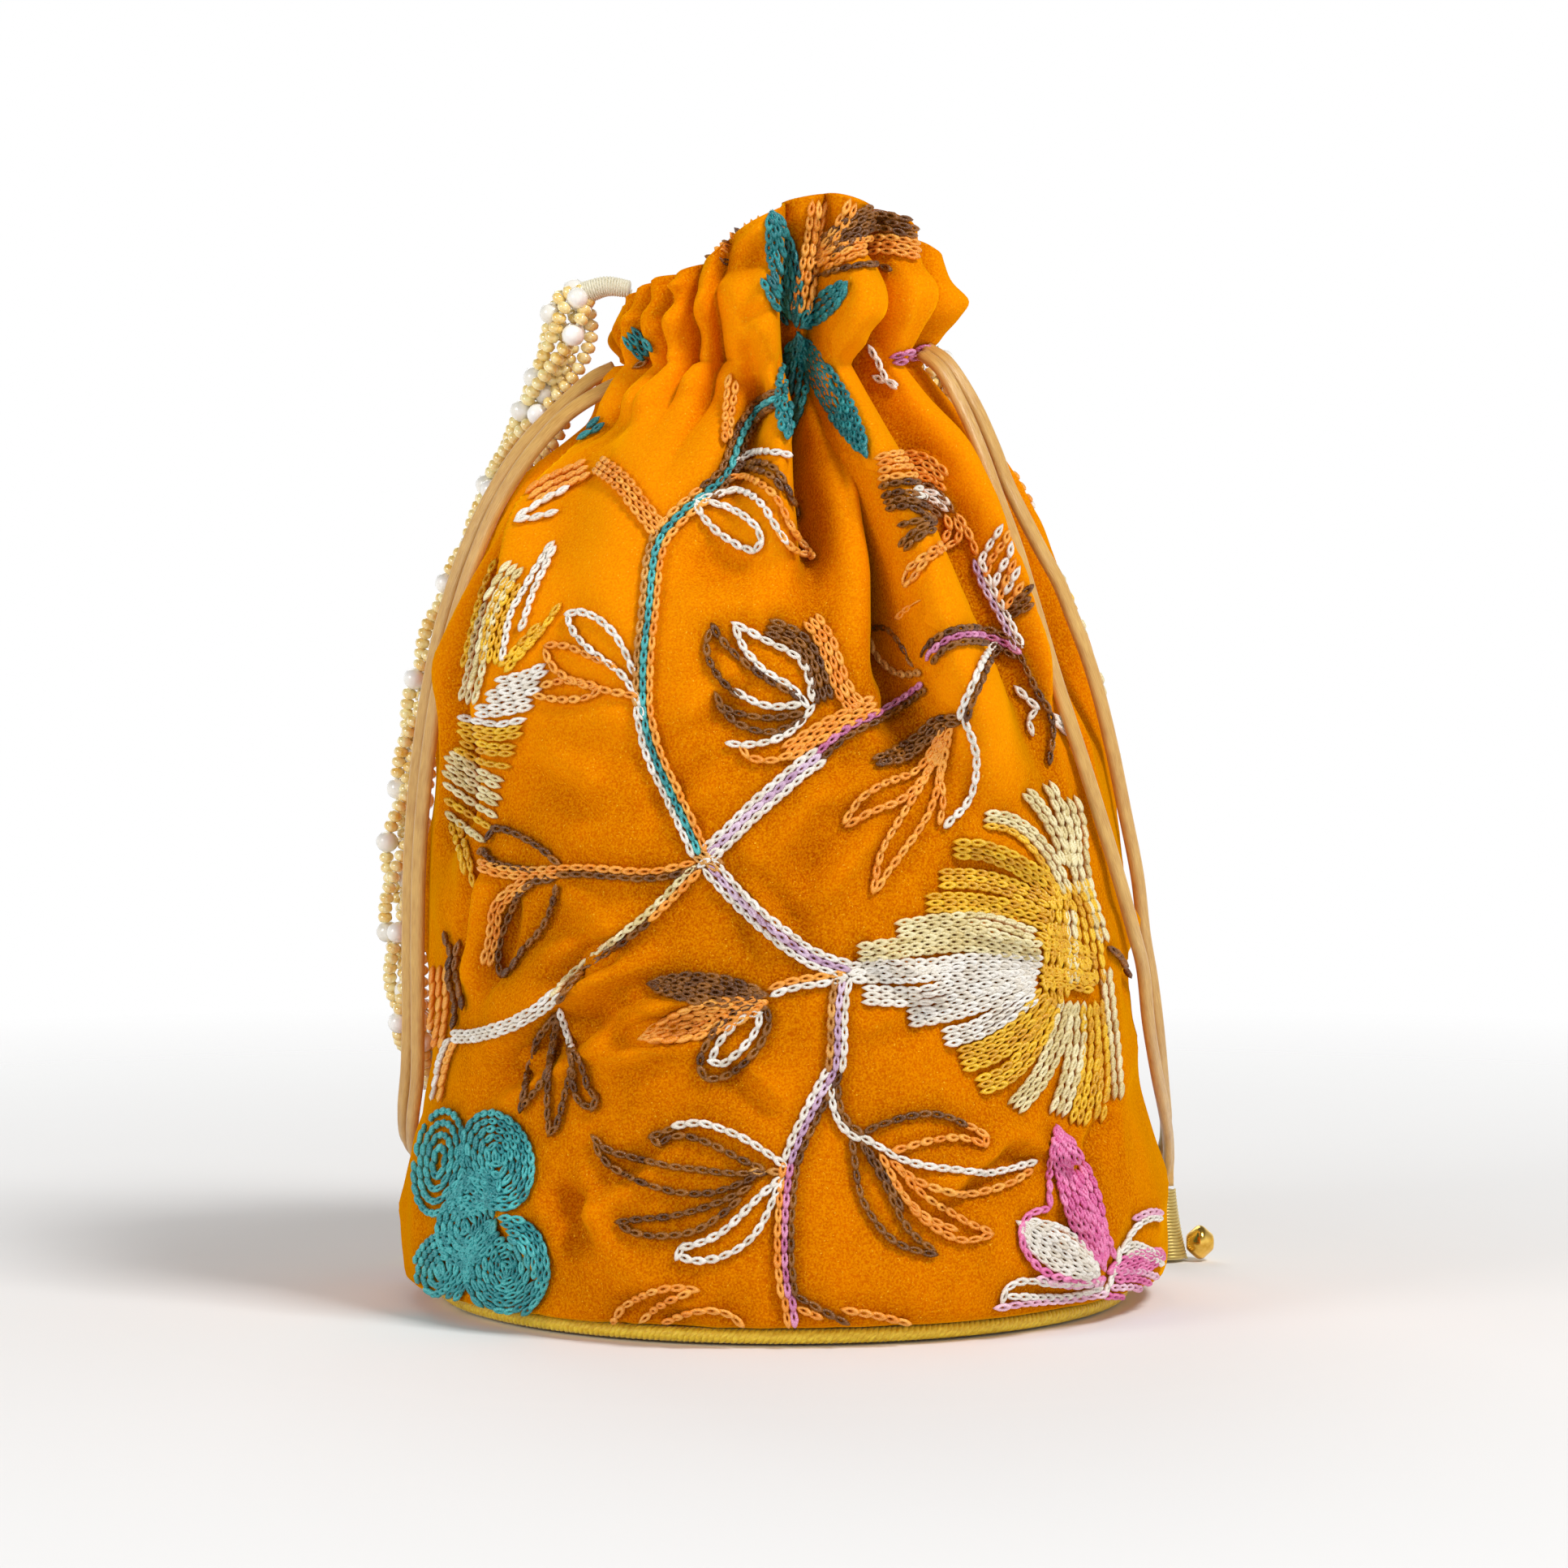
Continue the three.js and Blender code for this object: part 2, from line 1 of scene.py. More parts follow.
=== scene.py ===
# %% [markdown]
# # A velvet reticule with a bead handle
# This lesson dresses a small drawstring bag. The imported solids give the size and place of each
# piece, and here each one gets its cloth, thread, beads and metal. Everything is in metres with +Z
# up, the middle of the base is the origin, and the bag's front looks towards -Y.
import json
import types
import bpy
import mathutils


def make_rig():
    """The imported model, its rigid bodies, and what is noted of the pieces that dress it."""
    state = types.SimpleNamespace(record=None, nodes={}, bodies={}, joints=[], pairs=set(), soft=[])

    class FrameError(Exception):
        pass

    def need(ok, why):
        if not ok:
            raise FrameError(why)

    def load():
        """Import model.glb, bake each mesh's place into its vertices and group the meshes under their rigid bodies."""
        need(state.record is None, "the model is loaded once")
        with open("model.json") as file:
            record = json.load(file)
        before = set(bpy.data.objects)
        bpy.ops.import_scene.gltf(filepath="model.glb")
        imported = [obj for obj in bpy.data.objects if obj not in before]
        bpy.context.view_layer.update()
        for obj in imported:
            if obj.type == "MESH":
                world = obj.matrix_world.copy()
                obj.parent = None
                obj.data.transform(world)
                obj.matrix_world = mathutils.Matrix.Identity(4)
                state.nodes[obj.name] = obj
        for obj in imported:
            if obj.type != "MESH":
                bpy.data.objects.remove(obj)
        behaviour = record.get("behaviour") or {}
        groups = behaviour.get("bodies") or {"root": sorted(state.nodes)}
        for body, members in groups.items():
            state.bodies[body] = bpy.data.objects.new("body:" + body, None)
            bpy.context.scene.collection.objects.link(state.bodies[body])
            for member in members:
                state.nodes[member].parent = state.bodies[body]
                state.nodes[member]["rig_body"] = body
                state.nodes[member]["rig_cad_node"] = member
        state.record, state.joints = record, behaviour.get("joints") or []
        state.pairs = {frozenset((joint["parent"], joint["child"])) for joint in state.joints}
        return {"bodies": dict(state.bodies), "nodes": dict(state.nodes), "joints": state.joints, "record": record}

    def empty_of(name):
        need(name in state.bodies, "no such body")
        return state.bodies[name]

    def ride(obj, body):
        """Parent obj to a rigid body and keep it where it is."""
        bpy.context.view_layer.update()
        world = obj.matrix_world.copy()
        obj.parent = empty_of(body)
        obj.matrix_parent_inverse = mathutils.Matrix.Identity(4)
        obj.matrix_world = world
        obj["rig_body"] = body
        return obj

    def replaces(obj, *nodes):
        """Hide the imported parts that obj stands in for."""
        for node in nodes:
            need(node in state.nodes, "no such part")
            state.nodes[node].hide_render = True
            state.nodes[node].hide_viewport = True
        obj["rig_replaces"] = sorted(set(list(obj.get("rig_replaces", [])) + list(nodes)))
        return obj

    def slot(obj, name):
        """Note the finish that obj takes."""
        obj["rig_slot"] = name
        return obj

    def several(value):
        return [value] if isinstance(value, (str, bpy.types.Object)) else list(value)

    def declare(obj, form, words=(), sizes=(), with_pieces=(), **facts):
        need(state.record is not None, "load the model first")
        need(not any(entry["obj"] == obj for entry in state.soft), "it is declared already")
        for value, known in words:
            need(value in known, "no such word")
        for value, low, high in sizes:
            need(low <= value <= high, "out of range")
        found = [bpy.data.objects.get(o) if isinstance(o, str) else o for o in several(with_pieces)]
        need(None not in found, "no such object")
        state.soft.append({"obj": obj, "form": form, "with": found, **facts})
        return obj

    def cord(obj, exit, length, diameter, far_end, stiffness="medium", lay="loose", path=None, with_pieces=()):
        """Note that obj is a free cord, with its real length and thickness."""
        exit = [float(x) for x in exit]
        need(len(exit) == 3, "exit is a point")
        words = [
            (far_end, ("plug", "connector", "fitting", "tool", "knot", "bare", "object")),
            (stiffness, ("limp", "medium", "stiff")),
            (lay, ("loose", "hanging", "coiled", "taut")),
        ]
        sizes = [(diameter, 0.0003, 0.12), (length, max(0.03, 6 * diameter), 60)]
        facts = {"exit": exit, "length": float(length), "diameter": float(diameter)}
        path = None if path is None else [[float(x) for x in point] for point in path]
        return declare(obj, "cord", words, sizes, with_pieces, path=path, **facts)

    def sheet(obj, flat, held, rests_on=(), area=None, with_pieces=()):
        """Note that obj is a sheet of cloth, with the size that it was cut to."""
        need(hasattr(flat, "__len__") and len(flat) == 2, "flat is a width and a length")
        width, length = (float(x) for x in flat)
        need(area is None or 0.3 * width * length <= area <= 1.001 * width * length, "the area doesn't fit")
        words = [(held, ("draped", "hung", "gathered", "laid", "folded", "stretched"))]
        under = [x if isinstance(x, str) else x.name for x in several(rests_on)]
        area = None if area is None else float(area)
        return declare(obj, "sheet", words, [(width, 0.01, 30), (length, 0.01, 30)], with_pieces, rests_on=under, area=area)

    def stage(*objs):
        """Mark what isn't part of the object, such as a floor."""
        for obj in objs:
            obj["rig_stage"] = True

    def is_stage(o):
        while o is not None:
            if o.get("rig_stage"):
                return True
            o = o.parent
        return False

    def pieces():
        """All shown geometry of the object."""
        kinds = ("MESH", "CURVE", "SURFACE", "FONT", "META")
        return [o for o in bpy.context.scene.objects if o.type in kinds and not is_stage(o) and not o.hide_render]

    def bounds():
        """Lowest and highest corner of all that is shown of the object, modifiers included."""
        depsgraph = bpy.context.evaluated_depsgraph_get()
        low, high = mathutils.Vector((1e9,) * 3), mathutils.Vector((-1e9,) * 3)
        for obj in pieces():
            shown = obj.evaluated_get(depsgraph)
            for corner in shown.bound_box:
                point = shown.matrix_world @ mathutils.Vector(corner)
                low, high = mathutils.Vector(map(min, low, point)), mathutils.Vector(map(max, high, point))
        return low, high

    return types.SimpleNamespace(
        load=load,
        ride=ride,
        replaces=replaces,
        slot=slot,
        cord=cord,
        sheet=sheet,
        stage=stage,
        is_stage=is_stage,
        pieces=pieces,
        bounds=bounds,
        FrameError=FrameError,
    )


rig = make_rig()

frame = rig.load()
cad_box = [list(corner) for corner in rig.bounds()]
print("CAD box in metres:", cad_box)

# %% Libraries and small helpers
import json
import math

import bpy
import numpy as np
from mathutils import Vector
from mathutils.bvhtree import BVHTree
from mathutils.kdtree import KDTree

MM = 0.001
chance = np.random.default_rng(7)  # the draws for beads and stitches, in the order of the cells
WHOLE_TURN = 6.2832  # radians, for the shaders' waves


def unit(vectors):
    """The same directions, one long."""
    return vectors / np.maximum(np.linalg.norm(vectors, axis=-1, keepdims=True), 1e-12)


def ease(low, high, at):
    """0 below low, 1 above high, and a smooth step between."""
    share = np.clip((at - low) / (high - low), 0, 1)
    return share * share * (3 - 2 * share)


def bump(offset):
    """A soft hill, 1 high at offset 0."""
    return np.exp(-offset * offset)


print("the nodes to dress:", sorted(frame["nodes"]))

# %% [markdown]
# ## The camera
# The bag was looked at from just above its middle, with a long lens from about a metre away. A
# camera could be turned by eye until the outline fits. Here its numbers come from the bag's size in
# the picture, so that a point of the picture can later be sent back onto the cloth.

# %% The camera
FRAME_PIXELS = 1932
MIDDLE_PIXEL = (967, 966)
PIXELS_PER_METRE = 6100  # at the bag's axis
AIM = np.array([0, 0, 0.103])
DISTANCE = 1.1
RISE = math.radians(3.3)
SENSOR = 36

eye = AIM + DISTANCE * np.array([0, -math.cos(RISE), math.sin(RISE)])
bpy.ops.object.camera_add(location=eye, rotation=(math.pi / 2 - RISE, 0, 0))
camera = bpy.context.object
camera.data.sensor_width = SENSOR
camera.data.lens = SENSOR * DISTANCE * PIXELS_PER_METRE / FRAME_PIXELS
bpy.context.scene.camera = camera
print(f"lens {camera.data.lens:.1f} mm")

# %% [markdown]
# ## Floor and light
# The picture is bright on white. A soft lamp stands in front to the upper right, a weaker one to the
# left and one behind, and a pale world fills the rest. The plain view transform keeps the saturated
# orange, which the filmic one would wash out.

# %% Floor and light
def soft_light(name, place, size, power):
    """A square lamp that looks at the bag."""
    bpy.ops.object.light_add(type="AREA", location=place)
    lamp = bpy.context.object
    lamp.name = name
    lamp.data.size, lamp.data.energy = size, power
    lamp.rotation_mode = "QUATERNION"
    lamp.rotation_quaternion = Vector(AIM - np.array(place)).to_track_quat("-Z", "Y")


soft_light("key_light", (0.8, -0.7, 1.4), size=0.45, power=18.5)
soft_light("fill_light", (-1.1, -0.8, 0.6), size=0.5, power=5.0)
soft_light("back_light", (-0.3, 1.2, 1.0), size=0.8, power=4.0)
bpy.context.scene.view_settings.view_transform = "Standard"

FLOOR_SIZE, FLOOR_DROP = 12, 0.0004  # metres; the drop keeps the floor clear of the base
bpy.ops.mesh.primitive_plane_add(size=FLOOR_SIZE, location=(0, 0, -FLOOR_DROP))
floor = bpy.context.object
floor.name = "floor"
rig.stage(floor)
print("three lamps and a floor")

# %% [markdown]
# ## Shader maths
# A material's pattern is a small sum of noises and waves. Dozens of linked nodes are hard to read,
# so one class wraps a node's output, and an expression such as 1 - grain * 0.2 adds the Math nodes.

# %% A wire and a finish
def paint(code):
    """A colour for a shader socket from its usual #rrggbb code, by the sRGB curve."""
    shares = [int(code[i : i + 2], 16) / 255 for i in (1, 3, 5)]
    return tuple(s / 12.92 if s <= 0.04045 else ((s + 0.055) / 1.055) ** 2.4 for s in shares) + (1,)


class Wire:
    """The output of a node. Sums and products of wires add Math nodes."""

    def __init__(self, tree, socket):
        self.tree, self.socket = tree, socket

    def node(self, kind, settings=None, sockets=None, out=0):
        """Adds a node of that type, with settings first and then values or wires for its sockets."""
        made = self.tree.nodes.new(kind)
        for name, value in (settings or {}).items():
            setattr(made, name, value)
        for name, value in (sockets or {}).items():
            if isinstance(value, Wire):
                self.tree.links.new(value.socket, made.inputs[name])
            else:
                made.inputs[name].default_value = value
        return Wire(self.tree, made.outputs[out])

    def maths(self, operation, first, second=0.0):
        return self.node("ShaderNodeMath", {"operation": operation}, {0: first, 1: second})

    def __add__(self, other):
        return self.maths("ADD", self, other)

    def __sub__(self, other):
        return self.maths("SUBTRACT", self, other)

    def __rsub__(self, other):
        return self.maths("SUBTRACT", other, self)

    def __mul__(self, other):
        return self.maths("MULTIPLY", self, other)

    __radd__, __rmul__ = __add__, __mul__

    def wave(self):
        """The sine of this value, from 0 to 1."""
        return self.maths("SINE", self) * 0.5 + 0.5

    def noise(self, scale, detail=2.0):
        """Cloudy noise from 0 to 1 over this place, with that many clouds in a metre."""
        return self.node("ShaderNodeTexNoise", {}, {"Vector": self, "Scale": scale, "Detail": detail})

    def between(self, low, high):
        """0 below low, 1 above high."""
        return self.node("ShaderNodeMapRange", {}, {"Value": self, "From Min": low, "From Max": high})

    def mix(self, first, second):
        """The first colour where this wire is 0, the second where it is 1."""
        return self.node("ShaderNodeMix", {"data_type": "RGBA"}, {0: self, 6: first, 7: second}, out=2)

    def scaled(self, x, y, z):
        """This place stretched along each axis."""
        return self.node("ShaderNodeMapping", {}, {"Vector": self, "Scale": (x, y, z)})

    def axis(self, index):
        """One number of this place."""
        return self.node("ShaderNodeSeparateXYZ", {}, {"Vector": self}, out=index)


class Finish:
    """A material with one Principled shader, whose constants are set on its own sockets."""

    def __init__(self, name, **constants):
        self.material = bpy.data.materials.new(name)
        self.material.use_nodes = True
        self.tree = self.material.node_tree
        self.shader = self.tree.nodes["Principled BSDF"]
        for socket, value in constants.items():
            self.shader.inputs[socket.replace("_", " ")].default_value = value
        coordinates = self.tree.nodes.new("ShaderNodeTexCoord")
        self.place = Wire(self.tree, coordinates.outputs["Object"])
        self.uv = Wire(self.tree, coordinates.outputs["UV"])

    def value(self, attribute):
        """A number that the mesh carries at its points."""
        return self.place.node("ShaderNodeAttribute", {"attribute_name": attribute}, out=2)

    def feed(self, socket, wire):
        self.tree.links.new(wire.socket, self.shader.inputs[socket])

    def colour(self, wire, first, second):
        """Feeds the base colour: the first code where the wire is 0, the second where it is 1."""
        self.feed("Base Color", wire.mix(paint(first), paint(second)))

    def relief(self, height, depth, strength=1.0):
        """Bumps of that height wire, and of that depth in metres."""
        sockets = {"Height": height, "Distance": depth, "Strength": strength}
        self.feed("Normal", height.node("ShaderNodeBump", {}, sockets))


print("shader maths ready")

# %% The floor's finish and the pale world
paper = Finish("floor_paper", Roughness=0.9)
paper.colour(paper.place.noise(3, 4), "#f4f3f1", "#f8f7f6")
reach = paper.place.node("ShaderNodeVectorMath", {"operation": "LENGTH"}, {0: paper.place}, out=1)
FADE_START, FADE_END = 0.14, 0.6  # metres from the bag's axis
paper.feed("Alpha", 1 - reach.between(FADE_START, FADE_END))  # the paper fades into the white round it
floor.data.materials.append(paper.material)

world = bpy.data.worlds.new("studio")
world.use_nodes = True
bpy.context.scene.world = world
sky = world.node_tree.nodes
heading = Wire(world.node_tree, sky.new("ShaderNodeTexCoord").outputs["Generated"])
WHITE, DIM = (1, 1, 1, 1), (0.16, 0.16, 0.16, 1)
ceiling = heading.axis(2).between(0.2, 0.6).mix(WHITE, DIM)
world.node_tree.links.new(ceiling.socket, sky["Background"].inputs["Color"])
print("the floor is pale paper, and the world is white with a dimmer ceiling")

# %% [markdown]
# ## Tubes along a route
# Cords, plies and wound thread are all a section that is carried along a line. A curve object with a
# bevel does this too, but a mesh keeps its own UV map, which the thread patterns follow: u runs round
# the section and v along the line, in millimetres.

# %% Routes and tubes
SPAN_STEPS = 24  # points of a smooth route between two given ones, before they are spaced evenly


def smooth_route(points, steps):
    """Evenly spaced points on the centripetal curve through the given ones."""
    given = np.array(points, float)
    ends = np.vstack([2 * given[0] - given[1], given, 2 * given[-1] - given[-2]])
    dense = []
    for a, b, c, d in zip(ends, ends[1:], ends[2:], ends[3:]):
        spans = [math.sqrt(max(np.linalg.norm(q - p), 1e-9)) for p, q in ((a, b), (b, c), (c, d))]
        knots = np.cumsum([0] + spans)
        t = np.linspace(knots[1], knots[2], SPAN_STEPS, endpoint=False)[:, None]

        def toward(p, q, low, high):
            return (p * (knots[high] - t) + q * (t - knots[low])) / (knots[high] - knots[low])

        ab, bc, cd = toward(a, b, 0, 1), toward(b, c, 1, 2), toward(c, d, 2, 3)
        dense.append(toward(toward(ab, bc, 0, 2), toward(bc, cd, 1, 3), 1, 2))
    return even_steps(np.vstack(dense + [given[-1:]]), steps)


def even_steps(line, steps):
    """The same line with that many steps of one length."""
    run = np.concatenate([[0], np.cumsum(np.linalg.norm(np.diff(line[:, :3], axis=0), axis=1))])
    wanted = np.linspace(0, run[-1], steps + 1)
    return np.stack([np.interp(wanted, run, line[:, axis]) for axis in range(line.shape[1])], axis=1)


def length_of(line):
    return float(np.linalg.norm(np.diff(line, axis=0), axis=1).sum())


def carried_frames(line, facing=None, loop=False):
    """The direction along a line and two directions across it, at each point. With facing, the
    second one across looks that way as far as it can. Without it, they turn as little as possible."""
    if loop:
        along = unit(np.roll(line, -1, axis=0) - np.roll(line, 1, axis=0))
    else:
        along = unit(np.gradient(line, axis=0))
    if facing is not None:
        side = unit(np.cross(along, np.broadcast_to(facing, line.shape)))
        return along, side, np.cross(side, along)
    start = np.cross(along[0], (0, 0, 1) if abs(along[0][2]) < 0.9 else (0, 1, 0))
    side = [unit(start)]
    for direction in along[1:]:
        side.append(unit(side[-1] - direction * (side[-1] @ direction)))
    side = np.array(side)
    return along, side, np.cross(along, side)


def sweep(line, section, frames, loop=False, scale=None):
    """Points, faces and UVs of a closed tube: the section (across, up) carried along the line."""
    _, side, up = frames
    count, sides = len(line), len(section)
    size = np.ones(count) if scale is None else np.asarray(scale)
    across, rise = section[:, 0][None, :, None], section[:, 1][None, :, None]
    rings = line[:, None] + size[:, None, None] * (across * side[:, None] + rise * up[:, None])
    points = rings.reshape(-1, 3)
    run = np.concatenate([[0], np.cumsum(np.linalg.norm(np.diff(line, axis=0), axis=1))]) / MM
    faces, uvs = [], []
    for i in range(count if loop else count - 1):
        j = (i + 1) % count
        high = run[j] if j else run[-1] + run[1]
        for k in range(sides):
            m = (k + 1) % sides
            faces.append((i * sides + k, i * sides + m, j * sides + m, j * sides + k))
            left, right = k / sides, (k + 1) / sides
            uvs += [(left, run[i]), (right, run[i]), (right, high), (left, high)]
    if not loop:
        last = (count - 1) * sides
        faces.append(tuple(range(sides - 1, -1, -1)))
        faces.append(tuple(range(last, last + sides)))
        uvs += [(0.5, run[0])] * sides + [(0.5, run[-1])] * sides
    return points, faces, uvs


def oval(half_width, half_height, sides, groove=0.0):
    """The outline of a flattened cord. groove sinks the middle of its two flat faces."""
    turn = 2 * math.pi * np.arange(sides) / sides
    sunk = 1 - groove * bump(np.cos(turn) / 0.28)
    return np.stack([half_width * np.cos(turn), half_height * np.sin(turn) * sunk], axis=1)


def joined(parts):
    """Several lots of points, faces and UVs as one."""
    points, faces, uvs, start = [], [], [], 0
    for part_points, part_faces, part_uvs in parts:
        points.append(part_points)
        faces += [tuple(corner + start for corner in face) for face in part_faces]
        uvs += list(part_uvs)
        start += len(part_points)
    return np.vstack(points), faces, uvs


def mesh_piece(name, points, faces, uvs=None):
    """A new smooth mesh object with those points, faces and UVs."""
    mesh = bpy.data.meshes.new(name)
    mesh.from_pydata([tuple(p) for p in points], [], [tuple(f) for f in faces])
    if uvs is not None:
        layer = mesh.uv_layers.new(name="UVMap")
        layer.data.foreach_set("uv", np.array(uvs, np.float32).ravel())
    mesh.shade_smooth()
    made = bpy.data.objects.new(name, mesh)
    bpy.context.collection.objects.link(made)
    return made


def carry(piece, name, values):
    """Gives the mesh one number at each of its points, for its finish to read."""
    layer = piece.data.attributes.new(name, "FLOAT", "POINT")
    layer.data.foreach_set("value", np.asarray(values).ravel().astype(np.float32))


def dress(piece, finish, slot, *nodes):
    """Gives a piece its finish, its slot and the body and nodes that it goes with."""
    piece.data.materials.clear()
    piece.data.materials.append(finish.material)
    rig.ride(piece, "root")
    if nodes:
        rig.replaces(piece, *nodes)
    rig.slot(piece, slot)
    triangles = sum(len(face.vertices) - 2 for face in piece.data.polygons)
    print(f"{piece.name}: {triangles} triangles")
    return piece


print("tubes ready")

# %% [markdown]
# ## The drawstrings
# Two runs of flat satin cord leave the gathered neck at each side and hang to a wound cone near the
# floor. They are mesh tubes with a flattened, lightly grooved section, so that the satin catches the
# light on its edges. Their routes are those of the CAD solids.

# %% The drawstrings' routes, in millimetres
CORD_DIAMETER = 3 * MM
CORD_STEPS = 220
CORD_ROUTES = {
    "drawstring_left_front": [
        (-32.0, -6.5, 184.0), (-37.0, -7.5, 181.6), (-43.6, -8.2, 177.2), (-50.4, -8.6, 169.8),
        (-56.6, -8.8, 160.4), (-61.4, -9.0, 149.8), (-65.6, -9.2, 137.0), (-69.3, -9.2, 122.0),
        (-71.8, -9.0, 105.0), (-73.2, -8.4, 88.0), (-73.7, -6.6, 72.0), (-74.0, -2.6, 56.0),
        (-74.6, 4.0, 43.0), (-76.2, 13.0, 33.0), (-76.8, 23.0, 26.0), (-75.6, 32.0, 21.6),
        (-74.2, 37.8, 18.6), (-74.2, 38.6, 15.7),
    ],
    "drawstring_left_rear": [
        (-34.0, -1.6, 186.8), (-38.4, -2.6, 184.6), (-44.6, -3.4, 179.2), (-51.8, -3.8, 171.8),
        (-58.4, -4.0, 161.8), (-63.8, -4.0, 150.4), (-68.2, -4.0, 137.2), (-71.6, -3.8, 122.0),
        (-74.0, -3.4, 105.0), (-75.4, -2.4, 88.0), (-75.9, -0.4, 72.0), (-76.2, 3.4, 57.0),
        (-77.0, 9.6, 44.6), (-78.4, 18.6, 34.6), (-78.6, 28.0, 27.6), (-76.2, 37.4, 22.4),
        (-72.4, 41.2, 18.6), (-71.8, 41.4, 15.7),
    ],
    "drawstring_right_front": [
        (27.6, -8.4, 189.4), (31.0, -11.0, 186.6), (35.0, -13.6, 179.6), (38.8, -17.0, 170.6),
        (42.6, -20.0, 160.0), (45.8, -21.4, 151.2), (49.2, -23.4, 140.0), (53.8, -26.2, 124.4),
        (56.6, -28.0, 115.8), (59.4, -28.6, 107.2), (63.0, -26.8, 96.0), (66.6, -23.4, 84.6),
        (69.4, -18.4, 75.2), (71.8, -11.4, 67.0), (73.6, -3.0, 55.0), (76.0, 9.0, 44.0),
        (78.6, 22.0, 34.0), (80.2, 33.0, 27.0), (80.8, 40.2, 21.4), (80.7, 42.6, 18.4),
        (80.7, 42.6, 15.7),
    ],
    "drawstring_right_rear": [
        (28.6, -4.0, 190.6), (32.2, -6.4, 188.2), (37.4, -9.0, 180.4), (41.8, -10.8, 170.8),
        (44.4, -12.0, 163.8), (47.6, -13.6, 157.2), (51.2, -14.6, 150.2), (54.6, -15.4, 144.0),
        (57.4, -15.0, 137.0), (60.4, -13.8, 129.2), (62.9, -12.6, 121.2), (65.7, -11.2, 110.0),
        (68.2, -8.0, 98.6), (71.3, -2.0, 84.6), (73.2, 4.6, 71.8), (75.0, 10.0, 63.0),
        (77.0, 17.4, 50.8), (78.8, 28.0, 38.6), (80.0, 36.6, 30.4), (80.0, 43.0, 24.0),
        (78.4, 45.3, 18.8), (78.3, 45.4, 15.7),
    ],
}
cord_lines = {name: smooth_route(points, CORD_STEPS) * MM for name, points in CORD_ROUTES.items()}
for name, line in cord_lines.items():
    print(f"{name}: {length_of(line):.4f} m")

# %% Satin for the drawstrings
satin = Finish(
    "satin_cord", Roughness=0.36, Specular_IOR_Level=0.6, Sheen_Weight=0.25, Sheen_Roughness=0.35,
)
fibre = satin.uv.scaled(60, 0.35, 1).noise(1, 3)
slub = satin.uv.scaled(2, 0.12, 1).noise(1, 2)
satin.colour((fibre * 0.6 + slub * 0.4).between(0.3, 0.7), "#b98238", "#e3b866")
satin.relief(fibre, 0.12 * MM, 0.7)
print("satin: fine threads along the cord")

# %% The drawstrings' tubes
FACING = {"left": (-0.55, -0.8, 0.2), "right": (0.6, -0.75, 0.2)}  # where a cord's flat face looks
CORD_HALF_WIDTH, CORD_HALF_HEIGHT, CORD_GROOVE = 1.65 * MM, 1.15 * MM, 0.28
cord_section = oval(CORD_HALF_WIDTH, CORD_HALF_HEIGHT, 16, groove=CORD_GROOVE)
cords = {}
for name, line in cord_lines.items():
    frames = carried_frames(line, FACING[name.split("_")[1]])
    tube = mesh_piece(f"cord_{name}", *sweep(line, cord_section, frames))
    cords[name] = dress(tube, satin, "satin_cord", name)

# %% [markdown]
# ## The cords' ends
# Each pair of runs is bound into a small cone wound with gilt thread, and a polished gold bead in
# the shape of two cones hangs at its foot. The winding is one thread: a circle that the Screw
# modifier turns and lifts. It makes a straight column, which is then drawn in towards the top.

# %% Gilt thread and gold
gilt = Finish("gilt_thread", Metallic=0.5, Roughness=0.38)
twist = (gilt.uv.axis(1) * 9.0 + gilt.uv.axis(0) * WHOLE_TURN).wave()
gilt.colour(twist * 0.6 + gilt.place.noise(900, 2) * 0.4, "#b3953c", "#f6e3a0")
gilt.relief(twist, 0.08 * MM, 0.6)
gold = Finish("gold_bead", Metallic=1.0, Roughness=0.16)
tarnish = gold.place.noise(420, 3)
gold.colour(tarnish.between(0.35, 0.7), "#ffd36a", "#dda63a")
gold.feed("Roughness", tarnish * 0.16 + 0.1)
print("gilt thread and gold bead finishes")

# %% Edit-mode helpers
def only(piece):
    """Selects that object alone."""
    bpy.ops.object.select_all(action="DESELECT")
    piece.select_set(True)
    bpy.context.view_layer.objects.active = piece


def apply_all(piece):
    """Applies the piece's modifiers, then its place, turn and size."""
    only(piece)
    for modifier in list(piece.modifiers):
        bpy.ops.object.modifier_apply(modifier=modifier.name)
    bpy.ops.object.transform_apply(location=True, rotation=True, scale=True)


def shape_points(piece, rule):
    """Moves the piece's points by a rule on their array."""
    co = np.empty(len(piece.data.vertices) * 3)
    piece.data.vertices.foreach_get("co", co)
    piece.data.vertices.foreach_set("co", rule(co.reshape(-1, 3)).ravel())
    piece.data.update()


def at_girth(co, girth):
    """The points with their way out from the Z axis multiplied by girth, and their height kept."""
    return co * np.stack([girth, girth, np.ones_like(girth)], axis=1)


def close_and_turn_out(piece):
    """Merges doubles, fills open rims and turns the faces outwards."""
    only(piece)
    bpy.ops.object.mode_set(mode="EDIT")
    bpy.ops.mesh.select_all(action="SELECT")
    bpy.ops.mesh.remove_doubles(threshold=1e-6)
    bpy.ops.mesh.select_all(action="DESELECT")
    bpy.ops.mesh.select_non_manifold()
    if piece.data.total_edge_sel:
        bpy.ops.mesh.fill()
    bpy.ops.mesh.select_all(action="SELECT")
    bpy.ops.mesh.normals_make_consistent(inside=False)
    bpy.ops.object.mode_set(mode="OBJECT")


